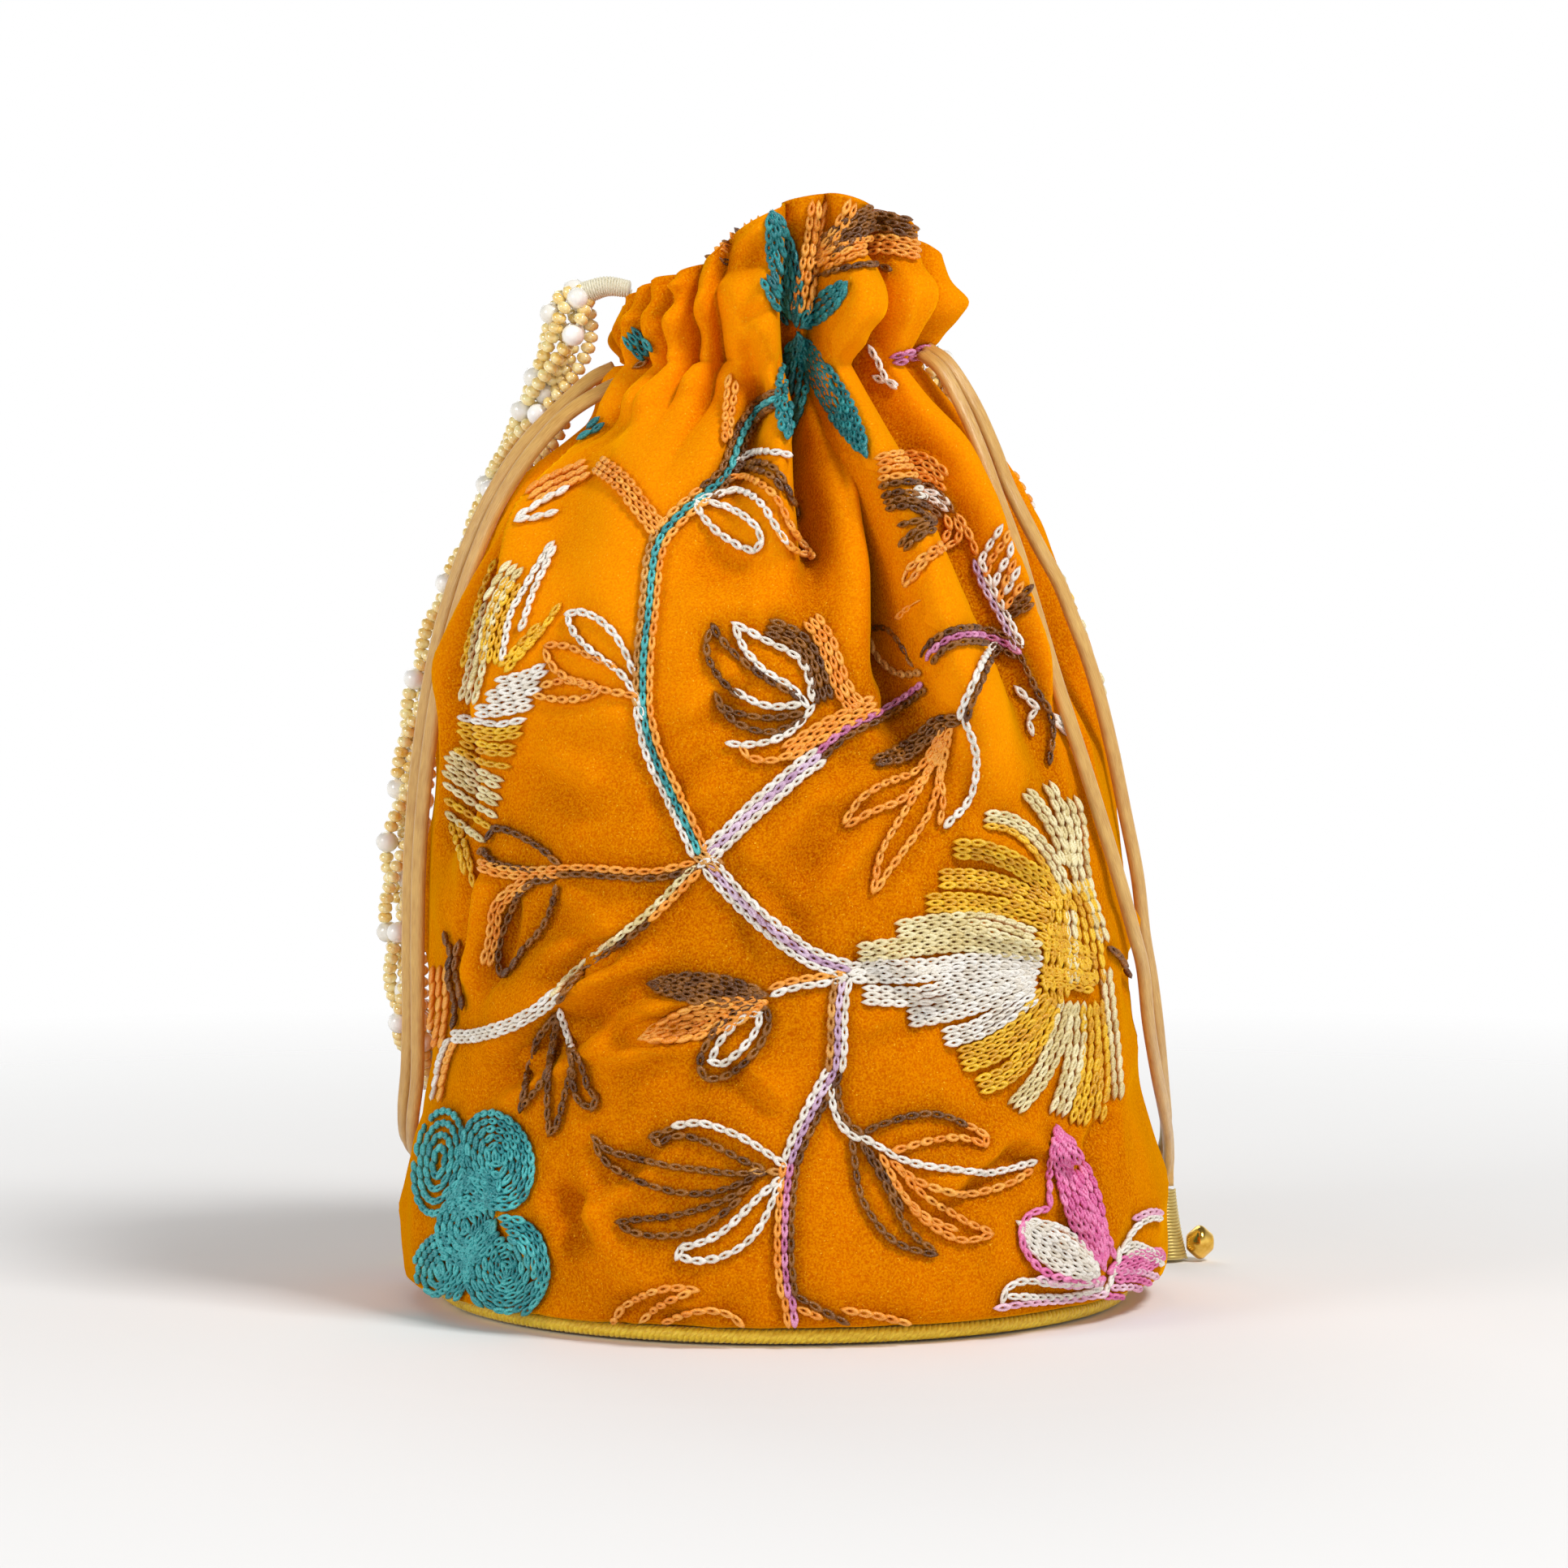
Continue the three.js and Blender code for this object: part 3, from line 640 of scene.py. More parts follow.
def joined_pieces(name, pieces):
    """Joins objects into the first and names it."""
    bpy.ops.object.select_all(action="DESELECT")
    for piece in pieces:
        piece.select_set(True)
    bpy.context.view_layer.objects.active = pieces[0]
    bpy.ops.object.join()
    pieces[0].name = pieces[0].data.name = name
    return pieces[0]


print("edit helpers ready")

# %% A wound cone and its bead
CONE_HEIGHT, CONE_FOOT, CONE_TOP, CONE_LEAN = 15 * MM, 4.4 * MM, 3.2 * MM, 1.5 * MM
THREAD_TURNS = 21
THREAD_SHARE = 0.56  # the thread's radius as a share of the winding's pitch
CORE_ROUNDING = 0.4 * MM
BEAD_RADIUS, BEAD_LENGTH = 3.6 * MM, 5.8 * MM
BEAD_TIP = 0.42  # the girth of a tip as a share of the middle's
BEAD_BELT = 0.1  # the belt's half width as a share of the length


def drawn_in(co):
    """The straight winding drawn in to the cone's slope, with its foot leaning out along X."""
    share = np.clip(co[:, 2] / CONE_HEIGHT, 0, 1)
    slope = 1 + (CONE_TOP / CONE_FOOT - 1) * share**0.7
    lean = CONE_LEAN * (1 - share) ** 1.5
    return at_girth(co, slope) + lean[:, None] * (1, 0, 0)


def wound_cone(name):
    """A core and one thread wound round it from foot to top."""
    pitch = CONE_HEIGHT / (THREAD_TURNS + 1)
    thick = pitch * THREAD_SHARE
    bpy.ops.mesh.primitive_circle_add(
        vertices=8, radius=thick, location=(CONE_FOOT - thick, 0, thick), rotation=(math.pi / 2, 0, 0),
    )
    thread = bpy.context.object
    bpy.ops.object.transform_apply(location=True, rotation=True, scale=True)
    screw = thread.modifiers.new("winding", "SCREW")
    screw.steps = screw.render_steps = 20
    screw.iterations, screw.screw_offset = THREAD_TURNS, pitch
    apply_all(thread)
    close_and_turn_out(thread)
    bpy.ops.mesh.primitive_cylinder_add(
        vertices=28, radius=CONE_FOOT - pitch * 0.8, depth=CONE_HEIGHT - CORE_ROUNDING,
        location=(0, 0, CONE_HEIGHT / 2),
    )
    core = bpy.context.object
    rounding = core.modifiers.new("rounding", "BEVEL")
    rounding.width, rounding.segments = CORE_ROUNDING, 2
    apply_all(core)
    cone = joined_pieces(name, [thread, core])
    shape_points(cone, drawn_in)
    return cone


def gold_bicone(name):
    """Two cones foot to foot, with a soft edge between them, lying along X."""
    bpy.ops.mesh.primitive_cylinder_add(vertices=24, radius=BEAD_RADIUS, depth=BEAD_LENGTH)
    bead = bpy.context.object
    bead.name = name
    bpy.ops.object.mode_set(mode="EDIT")
    for height in (BEAD_BELT, -BEAD_BELT):
        bpy.ops.mesh.select_all(action="SELECT")
        bpy.ops.mesh.bisect(plane_co=(0, 0, height * BEAD_LENGTH), plane_no=(0, 0, 1))
    bpy.ops.object.mode_set(mode="OBJECT")
    tip = 0.4 * BEAD_LENGTH  # points further from the middle than this are on a tip
    shape_points(bead, lambda co: at_girth(co, np.where(np.abs(co[:, 2]) > tip, BEAD_TIP, 1.0)))
    softening = bead.modifiers.new("softening", "BEVEL")
    softening.width, softening.segments, softening.limit_method = 0.5 * MM, 3, "ANGLE"
    apply_all(bead)
    shape_points(bead, lambda co: co[:, [2, 1, 0]] * (1, -1, 1))
    close_and_turn_out(bead)
    bead.data.shade_smooth()
    return bead


def cord_end(side, turn):
    """The cone under the ends of a side's two runs, and the bead beside its foot."""
    runs = [np.array(CORD_ROUTES[f"drawstring_{side}_{run}"][-1]) for run in ("front", "rear")]
    foot = (runs[0] + runs[1]) / 2 * MM * (1, 1, 0)
    cone = wound_cone(f"wound_cone_{side}")
    bead = gold_bicone(f"gold_bead_{side}")
    out = np.array([math.cos(turn), math.sin(turn), 0])
    reach = CONE_FOOT + CONE_LEAN - 0.5 * MM + BEAD_LENGTH / 2
    spin = np.array([[out[0], -out[1], 0], [out[1], out[0], 0], [0, 0, 1]])
    shape_points(cone, lambda co: co @ spin.T + foot)
    shape_points(bead, lambda co: (co + (reach, 0, BEAD_RADIUS)) @ spin.T + foot)
    dress(cone, gilt, "gilt_thread", f"cord_cone_{side}")
    dress(bead, gold, "gold", f"cord_bead_{side}")
    return [cone, bead]


ends = {"left": cord_end("left", math.radians(100)), "right": cord_end("right", 0)}

for name, line in cord_lines.items():
    side = name.split("_")[1]
    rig.cord(
        cords[name], exit=line[0], length=length_of(line), diameter=CORD_DIAMETER, far_end="fitting",
        stiffness="limp", lay="hanging", path=line, with_pieces=ends[side],
    )
print("four cords declared")

# %% [markdown]
# ## The bag's form
# The bag is one sheet of velvet, gathered at the neck. A cloth simulation could gather it, but each
# run would fold it a little differently from the real one. Here the form is written down: tables say
# how wide each level is, where each fold runs and which way it leans over, and where the wrinkles
# lie. The sizes, sections and dents are the CAD solid's. The folds and the frill are written out
# again in more rows, and the gathers, wrinkles and lobes are only here.

# %% The bag's sizes and sections
CLOTH = 2.2 * MM
HALF_BASE = 68.5 * MM
HALF_BODY = np.array([77.5, 74.0]) * MM  # across and deep
HALF_NECK = np.array([26.0, 23.0]) * MM
NECK_HEIGHT = 187 * MM
HEM_HEIGHT = 3.5 * MM
RUFFLE_HEIGHT = 33 * MM
RUFFLE_FLARE = 9 * MM
FOLD_DEPTH = 8 * MM

# level, then the shares of base, body and neck, and the lean to the right
SECTIONS = [
    (0.0, 1.0, 0.0, 0.0, 0.0), (0.004, 0.28, 0.72, 0.0, 0.0), (0.025, 0.04, 0.96, 0.0, 0.0),
    (0.07, 0.0, 1.0, 0.0, 0.0), (0.135, 0.0, 0.96, 0.04, 0.0), (0.22, 0.0, 0.89, 0.11, 0.002),
    (0.34, 0.0, 0.874, 0.126, -0.012), (0.43, 0.0, 0.864, 0.136, -0.02),
    (0.515, 0.0, 0.83, 0.17, -0.034), (0.61, 0.0, 0.77, 0.23, -0.046),
    (0.7, 0.0, 0.685, 0.315, -0.056), (0.785, 0.0, 0.56, 0.44, -0.052),
    (0.857, 0.0, 0.425, 0.575, -0.048), (0.91, 0.0, 0.27, 0.73, -0.032),
    (0.962, 0.0, 0.1, 0.9, -0.025), (1.0, 0.0, 0.0, 1.0, -0.025),
]
# angle, then the frill's height and flare there
RUFFLE = [
    (-180, 0.37, 0.6), (-150, 0.49, 0.55), (-126, 0.6, 0.4), (-113, 0.78, 0.3), (-100, 0.9, 0.25),
    (-83, 0.98, 0.15), (-62, 1.0, 0.35), (-30, 0.86, 0.45), (0, 0.64, 0.55), (35, 0.6, 0.7),
    (75, 0.62, 0.6), (110, 0.5, 0.65), (145, 0.4, 0.7), (180, 0.37, 0.6),
]


def read_table(rows, at):
    """Smooth values between a table's rows: one array for each column after the first."""
    rows = np.array(rows, float)
    keys, values = rows[:, 0], rows[:, 1:]
    at = np.asarray(at, float)
    low = np.clip(np.searchsorted(keys, at, side="right") - 1, 0, len(keys) - 2)
    high, before, after = low + 1, np.maximum(low - 1, 0), np.minimum(low + 2, len(keys) - 1)
    span = (keys[high] - keys[low])[..., None]
    share = np.clip((at - keys[low])[..., None] / span, 0, 1)
    leave = (values[high] - values[before]) / (keys[high] - keys[before])[..., None] * span
    arrive = (values[after] - values[low]) / (keys[after] - keys[low])[..., None] * span
    s2, s3 = share**2, share**3
    painted_light_and_shade = (
        (2 * s3 - 3 * s2 + 1) * values[low] + (s3 - 2 * s2 + share) * leave
        + (3 * s2 - 2 * s3) * values[high] + (s3 - s2) * arrive
    )
    return [painted_light_and_shade[..., i] for i in range(values.shape[1])]


print("widest section", 2 * HALF_BODY)

# %% Folds, wrinkles and gathers
# depth as a share of FOLD_DEPTH, half width in degrees, how far it leans over sideways as a share of
# its depth, then level and angle at points from its foot to its head
FOLDS = [
    (0.8, 17, 0.0, (0.52, -121), (0.7, -119), (0.85, -121), (0.93, -127), (0.985, -135)),
    (1.0, 5, -0.9, (0.46, -150), (0.6, -139), (0.69, -135), (0.78, -139), (0.85, -146), (0.95, -156)),
    (-1.9, 6.5, 0.0, (0.4, -166), (0.6, -152), (0.69, -147), (0.78, -150), (0.87, -157), (0.96, -166)),
    (0.8, 8, -0.5, (0.5, -172), (0.8, -166), (0.97, -172)),
    (-1.1, 3.0, 0.0, (0.83, -99), (0.905, -101), (1.0, -106)),
    (1.1, 7.0, 0.55, (0.72, -88), (0.87, -92), (0.93, -94), (1.0, -98)),
    (-1.7, 4.4, 0.0, (0.7, -78), (0.83, -80), (0.905, -82), (1.0, -86)),
    (0.55, 9, 0.0, (0.6, -72), (0.85, -70), (1.0, -75)),
    (-2.7, 5.4, 0.0, (0.54, -64), (0.69, -62), (0.78, -59.5), (0.87, -58), (0.94, -61), (1.0, -67)),
    (1.6, 8.5, -1.0, (0.48, -47), (0.69, -48.5), (0.87, -49.5), (1.0, -55)),
    (-1.0, 5, 0.0, (0.5, -32), (0.69, -36), (0.78, -38.5), (0.87, -39.5), (1.0, -42)),
    (0.8, 8, -0.6, (0.48, -22), (0.8, -27), (1.0, -30)), (-0.8, 7, 0.0, (0.52, -10), (0.97, -15)),
    (0.5, 11, -0.7, (0.44, 4), (0.97, 0)), (-1.0, 7, 0.0, (0.52, 24), (0.98, 20)),
    (0.85, 10, 0.9, (0.4, 46), (0.7, 42), (1.0, 42)), (-1.2, 7, 0.0, (0.48, 78), (0.8, 74), (0.99, 73)),
    (0.9, 11, -1.0, (0.4, 100), (0.7, 98), (1.0, 95)), (-1.1, 7, 0.0, (0.52, 130), (0.98, 125)),
    (0.6, 11, 0.9, (0.42, 156), (0.99, 150)), (-0.7, 8, 0.0, (0.5, 178), (0.98, 172)),
]
# level, angle, how tall and how wide it is, its slant, its depth
DENTS = [
    (0.4, -128, 0.05, 22, 300, -0.28), (0.1, -128, 0.07, 7, 30, -0.3),
    (0.17, -38, 0.05, 12, -160, -0.28), (0.47, -86, 0.1, 6, -20, -0.22),
    (0.36, 70, 0.05, 20, -200, -0.28), (0.15, 118, 0.06, 9, 60, -0.26),
]
WRINKLE_HEIGHT = 3.4  # millimetres
MM_PER_DEGREE, MM_PER_LEVEL = 1.25, 183  # about how far a degree round and a whole level up are
# angle and level at one end and at the other, the wrinkle's half width in millimetres, and its height
# as a share of WRINKLE_HEIGHT
WRINKLES = [
    (-110, 0.79, -82, 0.775, 4.2, -0.6), (-131, 0.47, -112, 0.38, 3.4, 0.5),
    (-152, 0.25, -103, 0.42, 3.4, 0.9), (-127, 0.34, -106, 0.42, 2.4, 0.6),
    (-118, 0.06, -98, 0.02, 3.0, 0.7), (-140, 0.14, -126, 0.03, 3.2, 0.8),
    (-95, 0.52, -88, 0.36, 2.6, 0.5), (-80, 0.30, -62, 0.36, 3.0, 0.5),
    (-62, 0.52, -36, 0.46, 3.4, 0.7), (-44, 0.14, -26, 0.24, 3.2, 0.8),
    (-52, 0.05, -34, 0.03, 2.4, 0.6), (-106, 0.62, -92, 0.70, 3.0, 0.6),
    (-72, 0.62, -58, 0.70, 2.6, 0.6), (-134, 0.60, -116, 0.55, 3.4, 0.6),
    (-20, 0.34, 4, 0.42, 3.4, 0.7), (16, 0.12, 44, 0.24, 3.4, 0.8),
    (40, 0.46, 66, 0.38, 3.2, 0.7), (84, 0.06, 112, 0.05, 3.0, 0.8),
    (96, 0.30, 128, 0.42, 3.4, 0.8), (120, 0.58, 146, 0.50, 3.2, 0.6),
    (150, 0.16, 176, 0.28, 3.4, 0.8), (-150, 0.21, -104, 0.37, 2.6, -0.9),
    (-96, 0.49, -84, 0.40, 2.2, -0.8), (-84, 0.56, -70, 0.60, 3.0, -0.8),
    (-60, 0.44, -40, 0.40, 2.4, -0.8), (-128, 0.10, -108, 0.20, 2.4, -0.7),
    (-70, 0.12, -50, 0.20, 2.4, 0.7), (-100, 0.30, -88, 0.22, 2.2, 0.6),
    (-136, 0.365, -103, 0.445, 2.6, 0.8), (-134, 0.335, -105, 0.41, 2.2, -0.9),
    (-123, 0.315, -97, 0.345, 2.2, 0.7), (-121, 0.288, -99, 0.318, 2.0, -0.7),
    (-122, 0.265, -106, 0.295, 2.0, 0.5), (-128, 0.15, -121, 0.06, 2.4, -0.9),
    (-124, 0.16, -116, 0.07, 2.2, 0.6), (-142, 0.49, -153, 0.31, 3.0, 0.9),
    (-137, 0.46, -147, 0.31, 2.4, -0.8), (-92, 0.47, -76, 0.60, 3.0, 0.7),
    (-88, 0.44, -72, 0.55, 2.6, -0.8), (-56, 0.20, -34, 0.15, 2.4, 0.7),
    (-78, 0.42, -62, 0.33, 2.6, 0.7), (-112, 0.52, -98, 0.60, 2.6, -0.6),
    (-48, 0.12, -36, 0.05, 2.2, -0.7),
]
# where a tube of the gathered neck starts, its height above the valleys in millimetres at the neck
# and at the frill's edge, and how far it leans over sideways in millimetres
GATHERS = [
    (-173, 5.4, 5.2, 0.4), (-161, 6.0, 5.8, 0.9), (-149, 6.0, 5.4, -0.8), (-138, 6.4, 5.8, 1.0),
    (-127, 6.4, 5.4, 1.2), (-116, 10.0, 8.6, 3.6), (-91, 1.2, 4.0, 0.0), (-70, 9.6, 7.0, -2.6),
    (-42, 8.4, 7.6, -1.8), (-18, 7.0, 6.8, 1.2), (4, 7.2, 7.0, -1.0), (22, 6.4, 6.0, 1.0),
    (40, 7.4, 6.6, -1.6), (60, 6.8, 7.2, 1.2), (80, 6.6, 6.2, -1.2), (100, 7.2, 6.8, 1.6),
    (122, 6.4, 6.0, -1.2), (144, 6.8, 6.0, 1.0), (165, 5.4, 5.4, -0.6),
]
# where a lobe of the frill puffs out or a crease sinks in: its angle and level, its half width in
# degrees and half height in levels, and its depth in millimetres. The row at -172 is the cords' mouth.
LOBES = [
    (-53, 1.36, 19, 0.25, 6.5), (-54, 1.03, 20, 0.09, -3.0), (-50, 1.74, 26, 0.11, -4.0),
    (-16, 1.5, 17, 0.3, 4.5), (-30, 1.3, 5, 0.4, -3.0), (-103, 1.3, 11, 0.28, 4.0),
    (-103, 1.72, 15, 0.09, -3.0), (-118, 1.6, 7, 0.22, 3.0), (-80, 1.9, 16, 0.14, 3.0),
    (-133, 1.45, 6, 0.3, 2.0), (-150, 1.75, 8, 0.12, -2.0), (58, 1.4, 17, 0.25, 4.5),
    (70, 1.78, 22, 0.1, -3.0), (118, 1.5, 15, 0.25, 4.0), (24, 1.6, 10, 0.2, 3.0),
    (152, 1.4, 13, 0.3, 3.0), (-172, 0.99, 12, 0.034, 7.5),
    (-121, 0.988, 10, 0.02, 4.6), (-137, 0.968, 11, 0.022, 5.0), (-44, 1.2, 9, 0.07, -2.4),
    (-62, 1.5, 5, 0.2, -2.0),
]
# small lobes all over the frill: the lowest and the highest of each of the five numbers above
CRUMPLES = 44
CRUMPLE_RANGES = [(-180, 180), (1.03, 1.95), (4, 10), (0.05, 0.14), (-2.8, 2.4)]
crumple = np.random.default_rng(11)
LOBES += list(zip(*[crumple.uniform(low, high, CRUMPLES) for low, high in CRUMPLE_RANGES]))
VALLEY_DEPTH = 4.6 * MM  # between two tubes of the neck
print(len(FOLDS), "folds,", len(WRINKLES), "wrinkles,", len(GATHERS), "gathers")


# %% The form as a rule
CINCH = 0.5 * MM  # how much the drawstring draws the neck in
TUBE_PUFF = 1.2 * MM  # moves all the gathers out
TUBE_POWER = 0.62  # below 1, so that a tube's crown is flat and its sides are steep
GATHERS_START = 0.74  # the level where the gathers begin
LATE_ANGLE, LATE_WIDTH, LATE_BY = -134, 24, 0.18  # but here they begin that much higher up
DRIFT = 4 * MM  # twice how far the frill's tallest part leans to the right
SAG, SAG_LEVEL, SAG_HEIGHT = 1.6 * MM, 0.018, 0.02  # how the cloth rolls down near the hem
SAG_ANGLE, SAG_WIDTH = -150, 40  # where it does so most
SLUMP_WAVE, BROAD_WAVE, FINE_WAVE = 75 * MM, 34 * MM, 13 * MM
PLANE_WAVES = 12
WAVES_SUM = 5  # about the most that the waves come to together
# the hollow value made from these paints shade into the velvet's hollows and a highlight onto its crowns
FLAT_PUSH, FULL_PUSH = 0.5 * MM, 5 * MM  # cloth pushed out this far is neither hollow nor crown, or all
FURROW_SHARE, FURROW_ASIDE = 0.8, 1.5  # a wrinkle's furrow: its depth, and its place in half widths


def turn_between(a, b):
    """From angle b to angle a, between -180 and 180 degrees."""
    return (a - b + 180) % 360 - 180


def folds_at(angle, level):
    """How far folds, dents and wrinkles push the cloth out and sideways there, in metres."""
    out, aside = np.zeros((2, *np.broadcast(angle, level).shape))
    for depth, width, roll, *path in FOLDS:
        levels, ways = zip(*path)
        share = np.clip((level - levels[0]) / (levels[-1] - levels[0]), 0, 1)
        centre = np.interp(level, levels, ways)
        fade = ease(0, 0.45, share) * (1 - 0.6 * ease(0.8, 1, share))
        push = depth * fade * bump(turn_between(angle, centre) / width) * FOLD_DEPTH
        out += push
        aside += roll * np.abs(push)
    for low, centre, tall, wide, slant, depth in DENTS:
        rise = level - low
        across = turn_between(angle, centre) - slant * rise
        out += depth * bump(rise / tall) * bump(across / wide) * FOLD_DEPTH
    for a0, l0, a1, l1, width, height in WRINKLES:
        run = np.array([(a1 - a0) * MM_PER_DEGREE, (l1 - l0) * MM_PER_LEVEL])
        x, y = turn_between(angle, a0) * MM_PER_DEGREE, (level - l0) * MM_PER_LEVEL
        along = np.clip((x * run[0] + y * run[1]) / (run @ run), 0, 1)
        off = (x * run[1] - y * run[0]) / math.hypot(*run)
        beyond = np.hypot(x - along * run[0], y - along * run[1]) - np.abs(off)
        taper = ease(0, 0.3, along) * (1 - ease(0.7, 1, along)) * bump(beyond / width)
        shape = bump(off / width) - FURROW_SHARE * bump((off - FURROW_ASIDE * width) / width)
        out += WRINKLE_HEIGHT * height * MM * shape * taper
    return out, aside


def lobes_at(angle, at):
    """How far the frill's lobes and creases push the cloth out, in metres."""
    return sum(
        height * MM * bump(turn_between(angle, centre) / wide) * bump((at - level) / tall)
        for centre, level, wide, tall, height in LOBES
    )


def gathers_at(angle, share):
    """How far the neck's gathers push the cloth out and sideways. share is 0 at the neck and 1 at
    the frill's edge."""
    starts = np.array([row[0] for row in GATHERS], float)
    place = (angle - starts[0]) % 360 + starts[0]
    tube = np.searchsorted(starts, place, side="right") - 1
    ends_at = np.append(starts[1:], starts[0] + 360)
    middle = (place - starts[tube]) / (ends_at[tube] - starts[tube]) * 2 - 1
    arch = np.maximum(1 - middle**2, 0) ** TUBE_POWER
    table = np.array(GATHERS, float)
    height = (table[tube, 1] * (1 - share) + table[tube, 2] * share) * MM
    return height * arch - VALLEY_DEPTH, table[tube, 3] * MM * arch


def oval_radius(across, deep, angle):
    """How far an oval's edge is from its middle at an angle."""
    turn = np.radians(angle)
    return 1 / np.hypot(np.cos(turn) / across, np.sin(turn) / deep)


def ripples(x, y, z, wavelength, seed):
    """Soft uneven waves from about -1 to 1, from a sum of plane waves. Each seed has its own draws."""
    draw = np.random.default_rng(seed)
    total = 0
    ways, phases = unit(draw.normal(size=(PLANE_WAVES, 3))), draw.uniform(0, 2 * math.pi, PLANE_WAVES)
    for way, phase in zip(ways, phases):
        run = x * way[0] + y * way[1] + z * way[2]
        total = total + np.sin(run * 2 * math.pi / wavelength + phase)
    return total / WAVES_SUM


def cloth_points(angle, at, inset):
    """Points of the cloth's face, and from -1 to 1 how far each is in a hollow or on a fold. at is a
    level up to 1, and past 1 it adds a share of the frill. inset is how far inside the face to go."""
    level, share = np.minimum(at, 1), np.maximum(at - 1, 0)
    base, body, neck, lean = read_table(SECTIONS, level)
    lean = lean * HALF_BODY[0]
    across = base * HALF_BASE + body * HALF_BODY[0] + neck * HALF_NECK[0]
    deep = base * HALF_BASE + body * HALF_BODY[1] + neck * HALF_NECK[1]
    rise, flare = read_table(RUFFLE, turn_between(angle, 0))
    opened = np.sin(np.minimum(share * 1.5, 1) * math.pi / 2) - 0.25 * ease(0.6, 1, share)
    folded, aside = folds_at(angle, level)
    tubes, leaned = gathers_at(angle, share)
    onset = GATHERS_START + LATE_BY * bump(turn_between(angle, LATE_ANGLE) / LATE_WIDTH)
    gathered = ease(onset, 1, level) ** 1.4
    cinch = CINCH * bump((at - 1) / 0.03)
    push = folded * (1 - share) + (tubes + TUBE_PUFF) * gathered * (1 - 0.2 * share) - cinch
    push = push + lobes_at(angle, at)
    radius = oval_radius(across, deep, angle) + RUFFLE_FLARE * flare * opened + push - inset
    aside = aside * (1 - share) + leaned * gathered
    drift = DRIFT * ease(0.3, 1, share) * np.maximum(rise - 0.5, 0)
    z = HEM_HEIGHT + level * (NECK_HEIGHT - HEM_HEIGHT) + share * rise * RUFFLE_HEIGHT
    turn = np.radians(angle)
    x = lean + drift + radius * np.cos(turn) - aside * np.sin(turn)
    y = radius * np.sin(turn) + aside * np.cos(turn)
    soft = ease(0, 0.03, at) * (1 - ease(0.9, 1, level) * 0.5)
    broad, fine = 0.8 + 1.4 * share, 0.32 + 0.9 * share
    crease = np.maximum(1 - 1.5 * np.abs(ripples(x, y, 1.7 * z, SLUMP_WAVE, 5)), 0) ** 2
    slump = crease * ease(0.03, 0.12, level) * (1 - ease(0.6, 0.85, level))
    waves = broad * ripples(x, y, z, BROAD_WAVE, 3) + fine * ripples(x, y, z, FINE_WAVE, 4)
    wander = (waves + 1.3 * slump) * MM * soft
    most = 0.5 + 0.5 * bump(turn_between(angle, SAG_ANGLE) / SAG_WIDTH)
    sag = SAG * bump((at - SAG_LEVEL) / SAG_HEIGHT) * most
    x, y = x + wander * np.cos(turn), y + wander * np.sin(turn)
    # hollow: how far the cloth lies in a hollow or stands on a fold, which the velvet's finish paints as shade and
    # highlight
    hollow = np.clip((push - FLAT_PUSH) / FULL_PUSH, -1, 1) + 0 * x  # 0 * x gives it the points' shape
    return np.stack([x, y, z - sag], axis=-1), hollow


print("a point of the belly's front:", cloth_points(np.array(-90.0), np.array(0.3), 0)[0])

# %% The bag as a mesh
AROUND = 420
RIM_LIFT = 0.4 * MM  # rounds the frill's edge
INNER_SHADE = 0.6  # how much deeper the cloth's inside is shaded
angles = np.arange(AROUND) * 360 / AROUND
outer_levels = np.concatenate([
    [0, 0.002, 0.006, 0.012, 0.02, 0.03], np.linspace(0.042, 0.7, 66), np.linspace(0.708, 0.99, 40),
    1 + np.linspace(0, 0.94, 30), [1.965, 1.985, 1.996],
])
inner_levels = np.concatenate([
    [1.99, 1.95, 1.88], 1 + np.linspace(0.8, 0, 10), np.linspace(0.96, 0.02, 26), [0.006],
])


def ring_levels(levels, inset):
    """The cloth's points and hollows, one ring for each level."""
    return cloth_points(angles[None, :], np.asarray(levels)[:, None], inset)


outer, outer_hollow = ring_levels(outer_levels, 0)
rim, rim_hollow = ring_levels([2.0], CLOTH * 0.3)
inner_rim, inner_rim_hollow = ring_levels([2.0], CLOTH * 0.7)
inner, inner_hollow = ring_levels(inner_levels, CLOTH)
rim[..., 2] += RIM_LIFT
inner_rim[..., 2] += RIM_LIFT
rings = np.concatenate([outer, rim, inner_rim, inner])
# the hollow values, which the velvet paints as shade and highlight; the inside gets more painted shade
hollows = np.concatenate([outer_hollow, rim_hollow, inner_rim_hollow, inner_hollow - INNER_SHADE])

# %% The cloth gives way under the cords
CORD_CLEARANCE = 2.3 * MM
CORD_NEAR = 11 * MM  # cloth further from a cord than this stays where it is
FURROW_FLOOR, FURROW_EDGE = 3.4 * MM, 8.5 * MM  # how far beside a cord the furrow is full, and ends
PRESS_START, PRESS_FULL = 0.03, 0.09  # shares of a cord's length from its upper end


def tree_of(places):
    """A tree that finds which of those places is nearest to a point."""
    tree = KDTree(len(places))
    for index, place in enumerate(places):
        tree.insert(place, index)
    tree.balance()
    return tree


# near the gathers, where a cord comes out of the cloth, it doesn't press on it
cord_press = np.concatenate([
    ease(PRESS_START, PRESS_FULL, np.linspace(0, 1, len(line))) for line in cord_lines.values()
])
cord_tree = tree_of(np.concatenate(list(cord_lines.values())))


